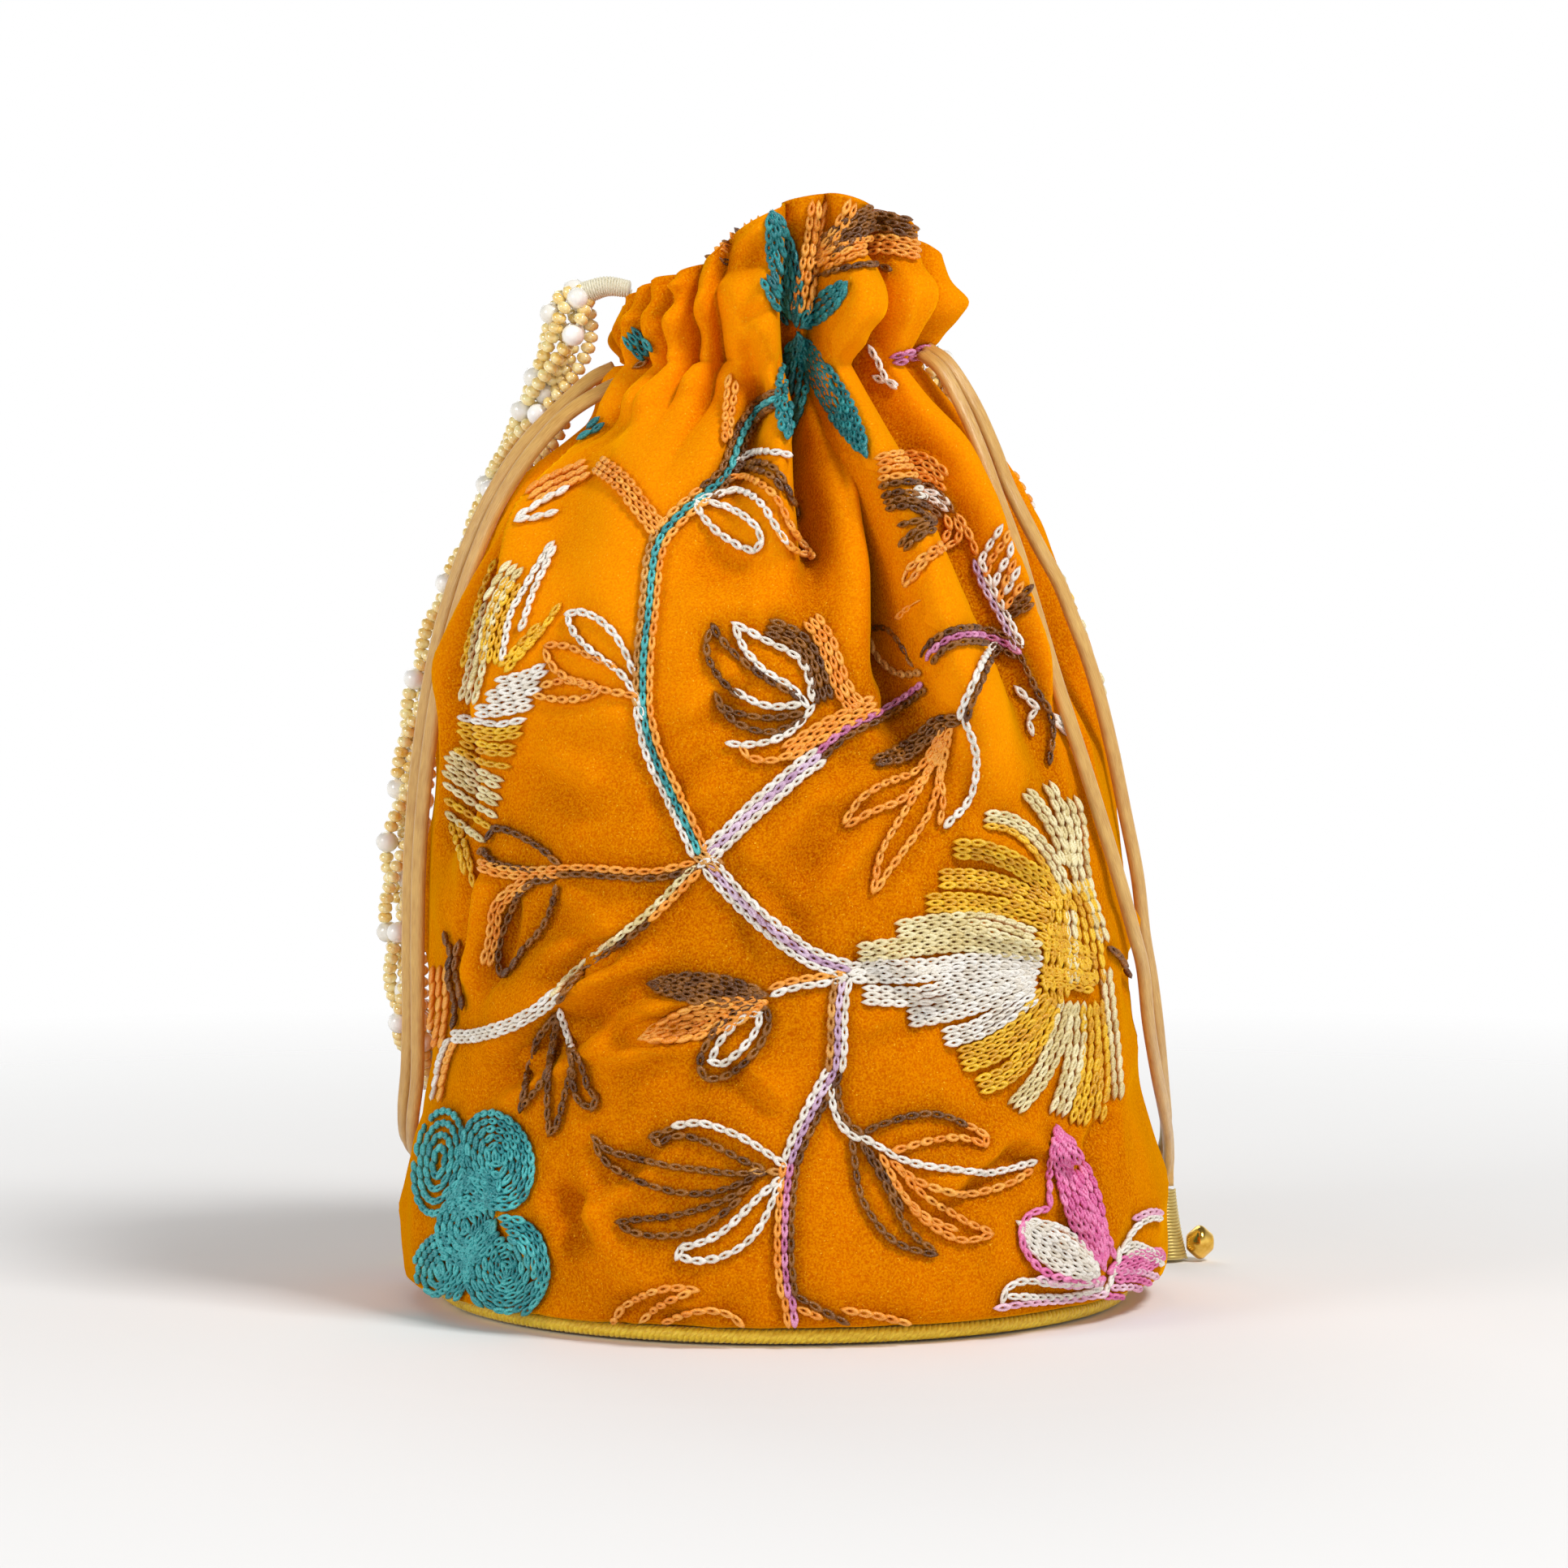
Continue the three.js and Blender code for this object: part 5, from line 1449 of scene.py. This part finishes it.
LEAVES = [
    ("white", [
        (783, 832), (770, 800), (750, 772), (722, 755), (701, 756), (710, 782), (735, 806),
        (765, 828), (787, 862), (793, 885),
    ]),
    ("orange", [(672, 795), (700, 796), (735, 812), (760, 822)]),
    ("orange", [(672, 800), (682, 822), (710, 840), (745, 850), (785, 858)]),
    ("orange", [(658, 856), (690, 862), (730, 858), (742, 848)]),
    ("orange", [(668, 845), (700, 838), (735, 845)]),
    ("brown", [(690, 1066), (672, 1048), (650, 1034), (628, 1023), (608, 1021), (602, 1034)]),
    ("brown", [(590, 1052), (598, 1046), (606, 1060), (630, 1068), (658, 1072)]),
    ("brown", [
        (682, 1084), (660, 1086), (644, 1099), (632, 1120), (621, 1146), (615, 1176), (619, 1203),
        (632, 1192), (646, 1170), (667, 1148), (679, 1124), (688, 1092),
    ]),
    ("orange orange", [(652, 1086), (626, 1103), (612, 1118), (609, 1150), (600, 1186)]),
    ("brown", [(686, 1250), (666, 1275), (656, 1302), (650, 1332), (643, 1368)]),
    ("brown", [(644, 1364), (662, 1343), (676, 1322), (683, 1295), (686, 1256)]),
    ("brown", [
        (687, 1258), (681, 1292), (677, 1330), (676, 1368), (681, 1401), (691, 1376), (698, 1345),
        (706, 1312), (703, 1290),
    ]),
    ("brown", [
        (706, 1292), (718, 1312), (726, 1340), (740, 1362), (718, 1362), (709, 1345), (707, 1316),
    ]),
    ("white", [(970, 1438), (945, 1420), (920, 1404), (890, 1391), (860, 1383), (832, 1388)]),
    ("brown", [
        (835, 1389), (802, 1402), (815, 1410), (832, 1399), (860, 1403), (890, 1416), (918, 1431),
        (942, 1441),
    ]),
    ("brown", [
        (944, 1446), (900, 1446), (860, 1441), (820, 1436), (780, 1426), (746, 1415), (732, 1401),
    ]),
    ("brown", [
        (734, 1408), (742, 1426), (760, 1441), (790, 1456), (830, 1468), (870, 1471), (902, 1463),
        (932, 1450),
    ]),
    ("brown", [(926, 1462), (900, 1476), (860, 1491), (820, 1500), (790, 1502), (762, 1506)]),
    ("brown", [(764, 1508), (782, 1519), (820, 1523), (860, 1516), (890, 1497), (912, 1478)]),
    ("white", [
        (966, 1450), (940, 1471), (915, 1496), (890, 1519), (860, 1533), (832, 1541), (850, 1553),
        (885, 1550), (915, 1536), (936, 1514), (950, 1486), (961, 1460),
    ]),
    ("tan", [(968, 1444), (945, 1444), (925, 1444)]),
    ("brown", [(1066, 1395), (1085, 1386), (1110, 1378), (1140, 1372), (1165, 1375), (1190, 1386)]),
    ("orange", [
        (1188, 1385), (1206, 1393), (1221, 1406), (1214, 1412), (1195, 1403), (1170, 1402),
        (1140, 1407), (1102, 1418),
    ]),
    ("brown", [
        (1050, 1404), (1054, 1430), (1058, 1460), (1066, 1485), (1080, 1506), (1097, 1526),
        (1122, 1539), (1153, 1546),
    ]),
    ("brown", [
        (1153, 1541), (1128, 1524), (1112, 1503), (1101, 1480), (1090, 1455), (1075, 1430),
        (1062, 1408),
    ]),
    ("brown", [(1066, 1412), (1086, 1440), (1100, 1466), (1112, 1490)]),
    ("orange", [
        (1086, 1422), (1100, 1450), (1116, 1476), (1136, 1500), (1160, 1518), (1190, 1529),
        (1222, 1521),
    ]),
    ("orange", [(1222, 1518), (1198, 1509), (1172, 1494), (1150, 1480), (1130, 1465), (1108, 1438)]),
    ("orange", [(1100, 1452), (1120, 1480), (1146, 1502), (1178, 1515)]),
    ("orange", [
        (1098, 1430), (1130, 1455), (1160, 1466), (1190, 1471), (1222, 1466), (1250, 1456),
        (1270, 1443),
    ]),
    ("orange", [(756, 1630), (765, 1614), (785, 1600), (810, 1590), (835, 1587), (860, 1590)]),
    ("orange", [(790, 1630), (805, 1615), (826, 1602), (852, 1592)]),
    ("orange", [(818, 1630), (836, 1622), (860, 1615), (885, 1615), (905, 1622), (915, 1632)]),
    ("brown", [(980, 1596), (1000, 1606), (1020, 1618), (1045, 1630)]),
    ("orange", [(985, 1612), (1010, 1622)]),
    ("orange", [(1040, 1614), (1066, 1618), (1092, 1623), (1120, 1630)]),
    ("white", [
        (857, 620), (870, 641), (886, 656), (906, 669), (932, 679), (940, 670), (937, 654),
        (924, 640), (904, 628), (880, 620), (858, 617),
    ]),
    ("white", [(862, 614), (882, 611), (904, 604), (925, 609), (944, 626), (956, 648), (970, 668)]),
    ("orange", [(896, 590), (916, 587), (940, 597), (959, 615), (971, 641), (985, 665), (1002, 684)]),
    ("orange", [(958, 652), (972, 671), (988, 682), (1006, 686)]),
    ("brown", [(888, 596), (910, 577), (935, 570), (955, 576), (967, 595), (976, 616), (986, 633)]),
    ("brown", [(905, 570), (930, 578), (952, 586), (964, 604)]),
    ("white", [(906, 573), (922, 560), (946, 556), (974, 561)]),
    ("brown", [(992, 862), (965, 848), (935, 830), (910, 810), (890, 789), (878, 771)]),
    ("brown", [(877, 775), (870, 797), (880, 825), (898, 847), (912, 858)]),
    ("white", [(904, 768), (920, 775), (945, 790), (970, 801), (990, 816), (998, 836), (1001, 862)]),
    ("white", [(906, 770), (915, 795), (931, 816), (955, 835), (976, 846), (996, 870)]),
    ("brown brown brown", [(948, 772), (980, 785), (1000, 808), (1009, 835), (1016, 862)]),
    ("white", [(905, 850), (925, 862), (950, 871), (985, 868)]),
    ("brown", [(882, 855), (892, 872), (918, 881), (950, 885), (988, 879)]),
    ("brown", [(884, 864), (900, 885), (922, 898), (955, 902), (990, 888)]),
    ("white", [(1004, 868), (984, 895), (957, 911), (925, 918), (898, 916)]),
    ("orange", [(912, 917), (920, 931), (945, 938), (970, 932), (992, 918)]),
    ("orange orange orange", [(1000, 762), (1019, 790), (1029, 820), (1040, 850), (1056, 872)]),
    ("brown", [(1070, 776), (1090, 773), (1105, 786), (1116, 803), (1126, 822)]),
    ("tan", [(1072, 782), (1080, 805), (1094, 821), (1112, 831), (1136, 828)]),
    ("orange", [(1106, 762), (1118, 750), (1132, 742)]),
    ("brown brown", [(1182, 887), (1155, 890), (1138, 907), (1110, 925), (1080, 939)]),
    ("brown", [(1085, 940), (1115, 936), (1140, 918), (1165, 897)]),
    ("orange", [(1160, 905), (1130, 950), (1090, 965), (1060, 985), (1042, 1012)]),
    ("orange", [(1044, 1018), (1075, 1000), (1110, 986), (1140, 957), (1162, 914)]),
    ("orange", [(1166, 908), (1140, 960), (1110, 1008), (1086, 1050), (1077, 1098)]),
    ("orange", [(1080, 1098), (1092, 1078), (1120, 1040), (1146, 1000), (1161, 950), (1171, 906)]),
    ("orange", [(1160, 906), (1159, 950), (1163, 990), (1158, 1014)]),
    ("orange orange", [(1170, 895), (1160, 915), (1150, 940)]),
    ("brown", [(1368, 1168), (1380, 1178), (1392, 1205)]),
    ("tan tan", [(858, 1052), (872, 1060), (888, 1068)]),
    ("white", [(862, 1068), (872, 1060), (884, 1046)]),
]
print(len(STEMS), "stems and", len(LEAVES), "outlines")

# %% The pleats', flanks' and neck's stitches
NECK_AND_FLANKS = [
    ("orange orange orange", [(1083, 572), (1110, 567), (1140, 571), (1162, 590)]),
    ("orange", [(1083, 590), (1112, 586), (1142, 589), (1166, 604)]),
    ("brown", [(1084, 600), (1110, 594), (1140, 597), (1162, 611), (1176, 630)]),
    ("brown brown brown", [(1090, 620), (1112, 614), (1138, 622), (1156, 634)]),
    ("white white", [(1128, 606), (1150, 611), (1168, 624)]),
    ("brown", [(1108, 648), (1128, 642), (1150, 640)]),
    ("brown brown", [(1112, 676), (1130, 658), (1156, 646)]),
    ("orange", [(1166, 634), (1172, 652), (1158, 672), (1136, 688), (1118, 704), (1114, 716)]),
    ("orange", [(1178, 640), (1186, 660), (1160, 678), (1140, 692), (1128, 712), (1116, 720)]),
    ("orange", [(1180, 634), (1194, 655), (1204, 682)]),
    ("white", [(1236, 648), (1226, 662), (1216, 678), (1208, 695)]),
    ("orange", [(1244, 655), (1236, 672), (1222, 690), (1216, 708)]),
    ("white", [(1248, 668), (1244, 686), (1232, 704), (1226, 722)]),
    ("orange", [(1252, 690), (1244, 706), (1238, 722), (1232, 740)]),
    ("white", [(1256, 700), (1250, 712), (1240, 730)]),
    ("orange", [(1262, 718), (1250, 735), (1240, 750)]),
    ("brown brown", [(1240, 757), (1256, 750), (1270, 742)]),
    ("brown", [(1250, 742), (1262, 732), (1270, 724)]),
    ("white", [(1252, 846), (1262, 858), (1280, 872), (1268, 885), (1272, 905)]),
    ("white", [(1300, 880), (1312, 898), (1328, 922)]),
    ("white", [(1302, 890), (1316, 905)]),
    ("orange orange orange", [(655, 612), (680, 597), (705, 586), (724, 578)]),
    ("white", [(636, 639), (656, 626), (680, 612), (702, 602)]),
    ("white", [(636, 641), (660, 638), (688, 631)]),
    ("white", [(682, 668), (668, 690), (655, 711), (641, 736), (628, 762), (624, 788), (619, 812)]),
    ("white", [(684, 674), (672, 700), (661, 722), (652, 748), (643, 776)]),
    ("cream cream cream", [(636, 696), (618, 724), (604, 754), (594, 788), (588, 820), (578, 862)]),
    ("gold gold gold", [(634, 716), (620, 745), (609, 778), (604, 815)]),
    ("gold", [(612, 690), (602, 712), (592, 740), (582, 780), (572, 820)]),
    ("gold", [(690, 745), (676, 768), (660, 786), (640, 806)]),
    ("gold gold", [(668, 772), (650, 792), (622, 822)]),
    ("white white", [(672, 824), (645, 836), (616, 842)]),
    ("white white", [(664, 845), (636, 854), (604, 858)]),
    ("white white", [(655, 866), (625, 874), (590, 876)]),
    ("white", [(647, 886), (615, 892), (572, 884)]),
    ("gold gold", [(642, 900), (610, 905), (568, 896)]),
    ("gold gold", [(634, 924), (600, 922), (570, 910)]),
    ("gold", [(628, 944), (600, 940), (566, 924)]),
    ("cream cream", [(618, 966), (590, 952), (556, 930)]),
    ("cream cream", [(615, 988), (588, 972), (552, 948)]),
    ("cream", [(612, 1006), (585, 990), (550, 966)]),
    ("gold", [(606, 1020), (580, 1004), (552, 986)]),
    ("cream", [(596, 1035), (575, 1020), (552, 1002)]),
    ("gold gold", [(560, 1012), (570, 1040), (578, 1072)]),
    ("gold", [(582, 1078), (586, 1096)]),
    ("brown", [(548, 1150), (557, 1175), (553, 1205), (562, 1235), (560, 1266)]),
    ("brown", [(566, 1160), (562, 1190), (568, 1222), (572, 1240)]),
    ("orange orange orange", [(542, 1192), (543, 1225), (541, 1258), (537, 1288)]),
    ("white", [(528, 1200), (528, 1235), (532, 1270)]),
    ("deep_teal deep_teal", [(703, 540), (722, 532), (742, 520)]),
    ("deep_teal deep_teal deep_teal", [(776, 412), (786, 424), (798, 436)]),
    ("brown", [(782, 452), (798, 446)]),
    ("orange", [(900, 462), (896, 500), (893, 545)]),
    ("orange", [(908, 470), (903, 505), (899, 540)]),
    ("deep_teal deep_teal", [(944, 342), (955, 368), (974, 394)]),
    ("orange orange orange", [(1010, 250), (1004, 290), (998, 330), (988, 384)]),
    ("orange orange", [(1052, 250), (1030, 290), (1008, 326)]),
    ("brown brown brown brown", [(1020, 306), (1048, 284), (1078, 268), (1130, 278)]),
    ("orange orange orange", [(1014, 324), (1050, 308), (1092, 300), (1132, 308)]),
    ("brown", [(1000, 344), (1040, 331), (1080, 326), (1100, 334)]),
    ("orchid orchid", [(1100, 444), (1122, 438), (1148, 430)]),
    ("white", [(1072, 428), (1084, 446), (1090, 464), (1104, 478)]),
    ("white", [(1076, 464), (1092, 470), (1106, 474)]),
]
print(len(NECK_AND_FLANKS), "rows on the neck and flanks")

# %% The flowers
PETALS = [
    ("cream cream", [(1266, 976), (1285, 1000), (1302, 1030), (1314, 1062)]),
    ("cream cream", [(1292, 966), (1306, 996), (1316, 1030), (1320, 1066)]),
    ("cream cream cream", [(1318, 985), (1328, 1020), (1330, 1060), (1336, 1096)]),
    ("gold cream cream", [(1216, 1010), (1244, 1014), (1272, 1034), (1296, 1066), (1310, 1100)]),
    ("gold gold gold", [(1178, 1046), (1210, 1047), (1250, 1062), (1284, 1086), (1306, 1114)]),
    ("gold gold gold", [(1160, 1083), (1200, 1083), (1245, 1094), (1290, 1116)]),
    ("gold gold gold", [(1144, 1113), (1190, 1112), (1240, 1120), (1290, 1134)]),
    ("cream cream cream", [(1108, 1146), (1160, 1138), (1215, 1138), (1272, 1156)]),
    ("cream cream cream", [(1060, 1174), (1120, 1167), (1190, 1160), (1280, 1172)]),
    ("white white", [(1092, 1188), (1140, 1190), (1200, 1182), (1282, 1184)]),
    ("white white", [(1050, 1203), (1120, 1203), (1200, 1196), (1278, 1194)]),
    ("white white white", [(1066, 1226), (1120, 1228), (1190, 1216), (1274, 1204)]),
    ("white white white", [(1122, 1254), (1170, 1246), (1220, 1230), (1270, 1212)]),
    ("white white white", [(1166, 1278), (1200, 1270), (1236, 1250), (1272, 1226)]),
    ("gold gold gold gold", [(1186, 1306), (1222, 1294), (1258, 1268), (1290, 1228)]),
    ("gold gold gold", [(1208, 1338), (1244, 1322), (1272, 1290), (1296, 1240)]),
    ("gold gold gold", [(1306, 1104), (1302, 1146), (1296, 1190), (1298, 1236)]),
    ("cream cream cream", [(1252, 1364), (1280, 1330), (1300, 1290), (1316, 1236)]),
    ("cream cream cream", [(1304, 1372), (1318, 1330), (1326, 1285), (1326, 1236)]),
    ("gold gold gold", [(1330, 1384), (1340, 1335), (1344, 1285), (1342, 1240)]),
    ("gold gold", [(1354, 1384), (1360, 1335), (1358, 1285), (1352, 1235)]),
    ("cream cream", [(1378, 1352), (1374, 1300), (1368, 1245), (1362, 1196)]),
    ("gold gold gold gold", [(1322, 1086), (1336, 1120), (1342, 1160), (1346, 1210)]),
    ("cream cream", [(1338, 1092), (1350, 1125), (1360, 1160)]),
    ("cream cream", [(1318, 1120), (1320, 1160), (1322, 1210)]),
    ("gold gold", [(1308, 1120), (1310, 1170), (1310, 1226)]),
    ("gold gold gold gold", [(1282, 1146), (1310, 1166), (1340, 1190)]),
    ("gold gold gold", [(1284, 1204), (1312, 1206), (1346, 1212)]),
    ("pink", [(1303, 1388), (1295, 1432), (1293, 1486)]),
    ("pink", [(1306, 1398), (1321, 1446), (1344, 1486), (1364, 1520), (1372, 1548)]),
    ("pink", [
        (1362, 1576), (1322, 1576), (1286, 1566), (1263, 1541), (1258, 1515), (1270, 1495),
        (1291, 1490),
    ]),
    ("rose", [(1360, 1580), (1320, 1584), (1280, 1574)]),
    ("white", [(1236, 1606), (1241, 1586), (1266, 1578), (1300, 1582), (1352, 1578)]),
    ("white", [(1242, 1597), (1280, 1598), (1330, 1595), (1356, 1586)]),
    ("rose", [(1228, 1612), (1255, 1607), (1290, 1604), (1330, 1600), (1362, 1594)]),
    ("white", [(1384, 1538), (1400, 1512), (1420, 1500), (1436, 1503)]),
    ("rose", [(1398, 1502), (1418, 1493), (1434, 1496)]),
    ("white white", [(1384, 1546), (1396, 1537), (1416, 1545), (1436, 1554)]),
    ("rose", [(1380, 1567), (1402, 1566), (1428, 1574)]),
    ("pink", [(1376, 1577), (1400, 1576), (1422, 1583)]),
    ("rose", [(1370, 1587), (1396, 1586), (1414, 1591)]),
    ("pink", [(1360, 1597), (1384, 1597), (1402, 1598)]),
    ("white", [(1380, 1540), (1373, 1566), (1361, 1596)]),
]
# thread, middle, half width, half height, its turn in degrees, and how many rings fill it
ROUNDS = [
    ("teal", (543, 1432), 30, 64, 8, 4), ("teal", (614, 1430), 42, 60, -14, 6),
    ("teal", (576, 1512), 34, 46, 12, 5), ("teal", (626, 1562), 50, 62, 0, 7),
    ("teal", (545, 1566), 34, 50, 24, 5), ("teal", (586, 1470), 36, 22, -30, 3),
    ("brown", (906, 1284), 58, 27, -48, 1), ("white", (908, 1280), 44, 14, -48, 1),
]
# thread, the two tips, half the width and the number of rows
FILLED_LEAVES = [
    ("deep_teal", (952, 256), (984, 400), 16, 5), ("deep_teal", (988, 404), (1046, 348), 12, 4),
    ("deep_teal", (984, 412), (970, 540), 17, 5), ("deep_teal", (984, 412), (1070, 562), 15, 5),
    ("white", (1256, 1506), (1354, 1572), 23, 7), ("pink", (1304, 1388), (1360, 1564), 21, 7),
    ("pink", (1366, 1568), (1436, 1544), 12, 4), ("brown", (797, 1212), (946, 1226), 17, 6),
    ("orange", (788, 1280), (946, 1234), 19, 6),
]
print(len(PETALS), "rows of petals,", len(ROUNDS), "rounds and", len(FILLED_LEAVES), "filled leaves")

# %% Sewing along a row
LONGEST_JUMP = 3 * MM  # a row breaks where the cloth under it jumps further
ROW_STEP = 3  # squares between the points of a row
cloth_tree = BVHTree.FromPolygons(
    [v.co for v in bag.data.vertices], [face.vertices for face in bag.data.polygons],
)
CHART_UP = np.array([0, math.sin(RISE), math.cos(RISE)])


def onto_cloth(square, behind):
    """Where a square of the chart falls on the cloth, and the way the cloth faces there."""
    right, up = np.array([square[0] - MIDDLE_PIXEL[0], MIDDLE_PIXEL[1] - square[1]]) / PIXELS_PER_METRE
    start = eye
    way = unit(AIM + right * np.array([1, 0, 0]) + up * CHART_UP - eye)
    if behind:
        start, way = start * (-1, -1, 1), way * (-1, -1, 1)
    place, normal, _, _ = cloth_tree.ray_cast(Vector(start), Vector(way))
    return None if place is None else (*place, *normal)


def rows_beside(points, count):
    """That many parallel lines about a smooth line through the points."""
    steps = max(int(length_of(np.array(points, float)) / ROW_STEP), 4)
    line = smooth_route(points, steps)
    along = unit(np.gradient(line, axis=0))
    right_hand = np.stack([-along[:, 1], along[:, 0]], axis=1)
    return [line + right_hand * ROW_GAP * ((count - 1) / 2 - i) for i in range(count)]


def rings_of(middle, half_width, half_height, turn, count):
    """Rings inside each other, for a round patch."""
    around = np.linspace(0, 2 * math.pi, 40)
    tilt = math.radians(turn)
    lines = []
    for i in range(count):
        across, tall = half_width - i * RING_GAP, half_height - i * RING_GAP * half_height / half_width * 0.9
        if across < 3:  # too small for a ring
            break
        x, y = across * np.cos(around + i), tall * np.sin(around + i)
        right = middle[0] + x * math.cos(tilt) - y * math.sin(tilt)
        down = middle[1] + x * math.sin(tilt) + y * math.cos(tilt)
        lines.append(np.stack([right, down], axis=1))
    return lines


def leaf_rows(start, end, half_width, count):
    """Rows side by side that fill a leaf between its two tips."""
    share = np.linspace(0, 1, 30)[:, None]
    across = unit(np.array([start[1] - end[1], end[0] - start[0]]))
    lines = []
    for offset in np.linspace(-1, 1, count):
        kept = 0.07 * abs(offset) + (1 - 0.14 * abs(offset)) * share
        bulge = half_width * offset * np.sin(math.pi * kept) ** 0.75
        lines.append(np.array(start) + (np.array(end) - start) * kept + across * bulge)
    return lines


def sewn(line, behind):
    """The places, directions and normals of the stitches along one line of the chart."""
    found, runs, run = [onto_cloth(square, behind) for square in line], [], []
    for hit in found + [None]:
        if hit is not None and (not run or math.dist(hit[:3], run[-1][:3]) < LONGEST_JUMP):
            run.append(hit)
            continue
        if len(run) > 2:
            runs.append(np.array(run))
        run = [] if hit is None else [hit]
    stitches = []
    for run in runs:
        count = round(length_of(run[:, :3]) / STITCH_PITCH)
        if count < 1:
            continue
        marks = even_steps(run, count)
        place, normal = marks[:, :3], unit(marks[:, 3:])
        stitches.append((
            (place[1:] + place[:-1]) / 2, unit(place[1:] - place[:-1]), unit(normal[1:] + normal[:-1]),
        ))
    return stitches


def chart_lines():
    """Every thread name and line of the chart."""
    for threads, points in STEMS + LEAVES + NECK_AND_FLANKS + PETALS:
        names = threads.split()
        yield from zip(names, rows_beside(points, len(names)))
    for thread, middle, half_width, half_height, turn, count in ROUNDS:
        for line in rings_of(middle, half_width, half_height, turn, count):
            yield thread, line
    for thread, start, end, half_width, count in FILLED_LEAVES:
        for line in leaf_rows(start, end, half_width, count):
            yield thread, line


sewing = {}
for behind in (False, True):
    for thread, line in chart_lines():
        sewing.setdefault(thread, []).extend(sewn(line, behind))
print({thread: sum(len(row[0]) for row in rows) for thread, rows in sewing.items()}, "stitches")

# %% [markdown]
# ## The threads
# The threads are shiny viscose, twisted from two plies. Each colour is one piece. Its colour is painted
# between a shaded and a lit tone: stripes of shade and highlight along the plies' twist, and a value for
# each stitch that paints it a little lighter or darker, as the light does on real loops.

# %% The threads' finishes and pieces
STITCH_SWING = 0.16  # radians from a loop turned one way to a loop turned the other
NARROWEST, WIDER = 0.9, 0.2  # a loop's width, as a share of the usual: the least, and the most added
LOWEST, HIGHER = 0.1, 0.12  # a loop's height over the cloth in millimetres, the same way
# each thread's colour in painted shade, then in painted light
THREADS = {
    "teal": ("#1a7f86", "#5acbcb"), "deep_teal": ("#0d5b62", "#2a9c9e"), "white": ("#e6dac6", "#fffbf4"),
    "lilac": ("#b98bb0", "#f0d8ec"), "brown": ("#482004", "#a4661a"), "orange": ("#f08a12", "#ffb84c"),
    "tan": ("#a8651a", "#f2b45a"),
    "gold": ("#d99400", "#ffd12a"), "cream": ("#d8bf7a", "#fff4c6"), "orchid": ("#b44f86", "#f2a8cf"),
    "pink": ("#dc549a", "#ff9ccb"), "rose": ("#e69cbe", "#ffdfeb"),
}


def thread_finish(name, dark, light):
    """A shiny thread, painted between its shaded and its lit colour."""
    finish = Finish(
        f"{name}_thread", Roughness=0.36, Specular_IOR_Level=0.6, Sheen_Weight=0.2, Sheen_Roughness=0.3,
        Sheen_Tint=paint(light),
    )
    # painted shade and highlight: stripes along the plies' twist, and each stitch lighter or darker by its own value
    plies = (finish.uv.axis(0) * 90.0 + finish.uv.axis(1) * WHOLE_TURN).wave()
    painted_light_and_shade = plies * 0.35 + finish.value("lot") * 0.65
    finish.colour(painted_light_and_shade.between(0.05, 0.95), dark, light)
    finish.relief(plies, 0.1 * MM, 0.5)
    return finish


def stitched_piece(thread, rows):
    """All the stitches of one thread as one mesh."""
    place, along, normal = (np.concatenate([row[i] for row in rows]) for i in range(3))
    side = unit(np.cross(normal, along))
    count = len(place)
    swing = (chance.random((count, 1)) - 0.5) * STITCH_SWING
    along, side = along * np.cos(swing) + side * np.sin(swing), side * np.cos(swing) - along * np.sin(swing)
    width = NARROWEST + WIDER * chance.random((count, 1, 1))
    place = place + normal * (LOWEST + HIGHER * chance.random((count, 1))) * MM
    points, faces = copies(LINK, place, (along, side, normal), width)
    piece = mesh_piece(f"embroidery_{thread}", points, faces, np.tile(LINK_UVS, (count, 1)))
    # each stitch's painted light: a random value that makes it lighter or darker
    carry(piece, "lot", np.repeat(chance.random(count), len(LINK[0])))
    piece.data.materials.append(thread_finish(thread, *THREADS[thread]).material)
    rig.ride(piece, "root")
    print(f"{piece.name}: {count} stitches, {2 * len(faces)} triangles")
    return piece


embroidery = [stitched_piece(thread, rows) for thread, rows in sewing.items()]

# %% [markdown]
# ## The pile under the stitches
# A row of stitches presses the pile down, so the velvet stands up in soft pillows between the rows.
# Each point of the cloth's face near a stitch is moved in a little, and carries how much, so that its
# finish can paint shade there, along the stitched furrows.

# %% The velvet between the rows
PRESS_DEPTH, PRESS_REACH = 0.9 * MM, 2.6 * MM
tree = tree_of(np.concatenate([row[0] for rows in sewing.values() for row in rows]))
face_points = len(outer_levels) * AROUND
co = np.array([v.co for v in bag.data.vertices])
normals = np.array([v.normal for v in bag.data.vertices])
gap = np.array([tree.find(place)[2] for place in co[:face_points]])
pressed = np.zeros(len(co))
pressed[:face_points] = bump(gap / PRESS_REACH)
co -= normals * PRESS_DEPTH * pressed[:, None]
bag.data.vertices.foreach_set("co", co.ravel())
# pressed is also painted shade in the velvet's finish
carry(bag, "pressed", pressed)
bag.data.update()
print("points pressed by half or more:", int((pressed > 0.5).sum()))

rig.sheet(bag, flat=(0.48, 0.235), held="gathered", rests_on=["base_panel"], with_pieces=embroidery)
print("the bag was cut 480 x 235 mm")

# %% Write the sizes and finish
shown_box = [list(corner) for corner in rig.bounds()]
with open("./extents.json", "w") as sizes:
    json.dump({"cad": cad_box, "visual": shown_box}, sizes)
print("shown box in metres:", shown_box)
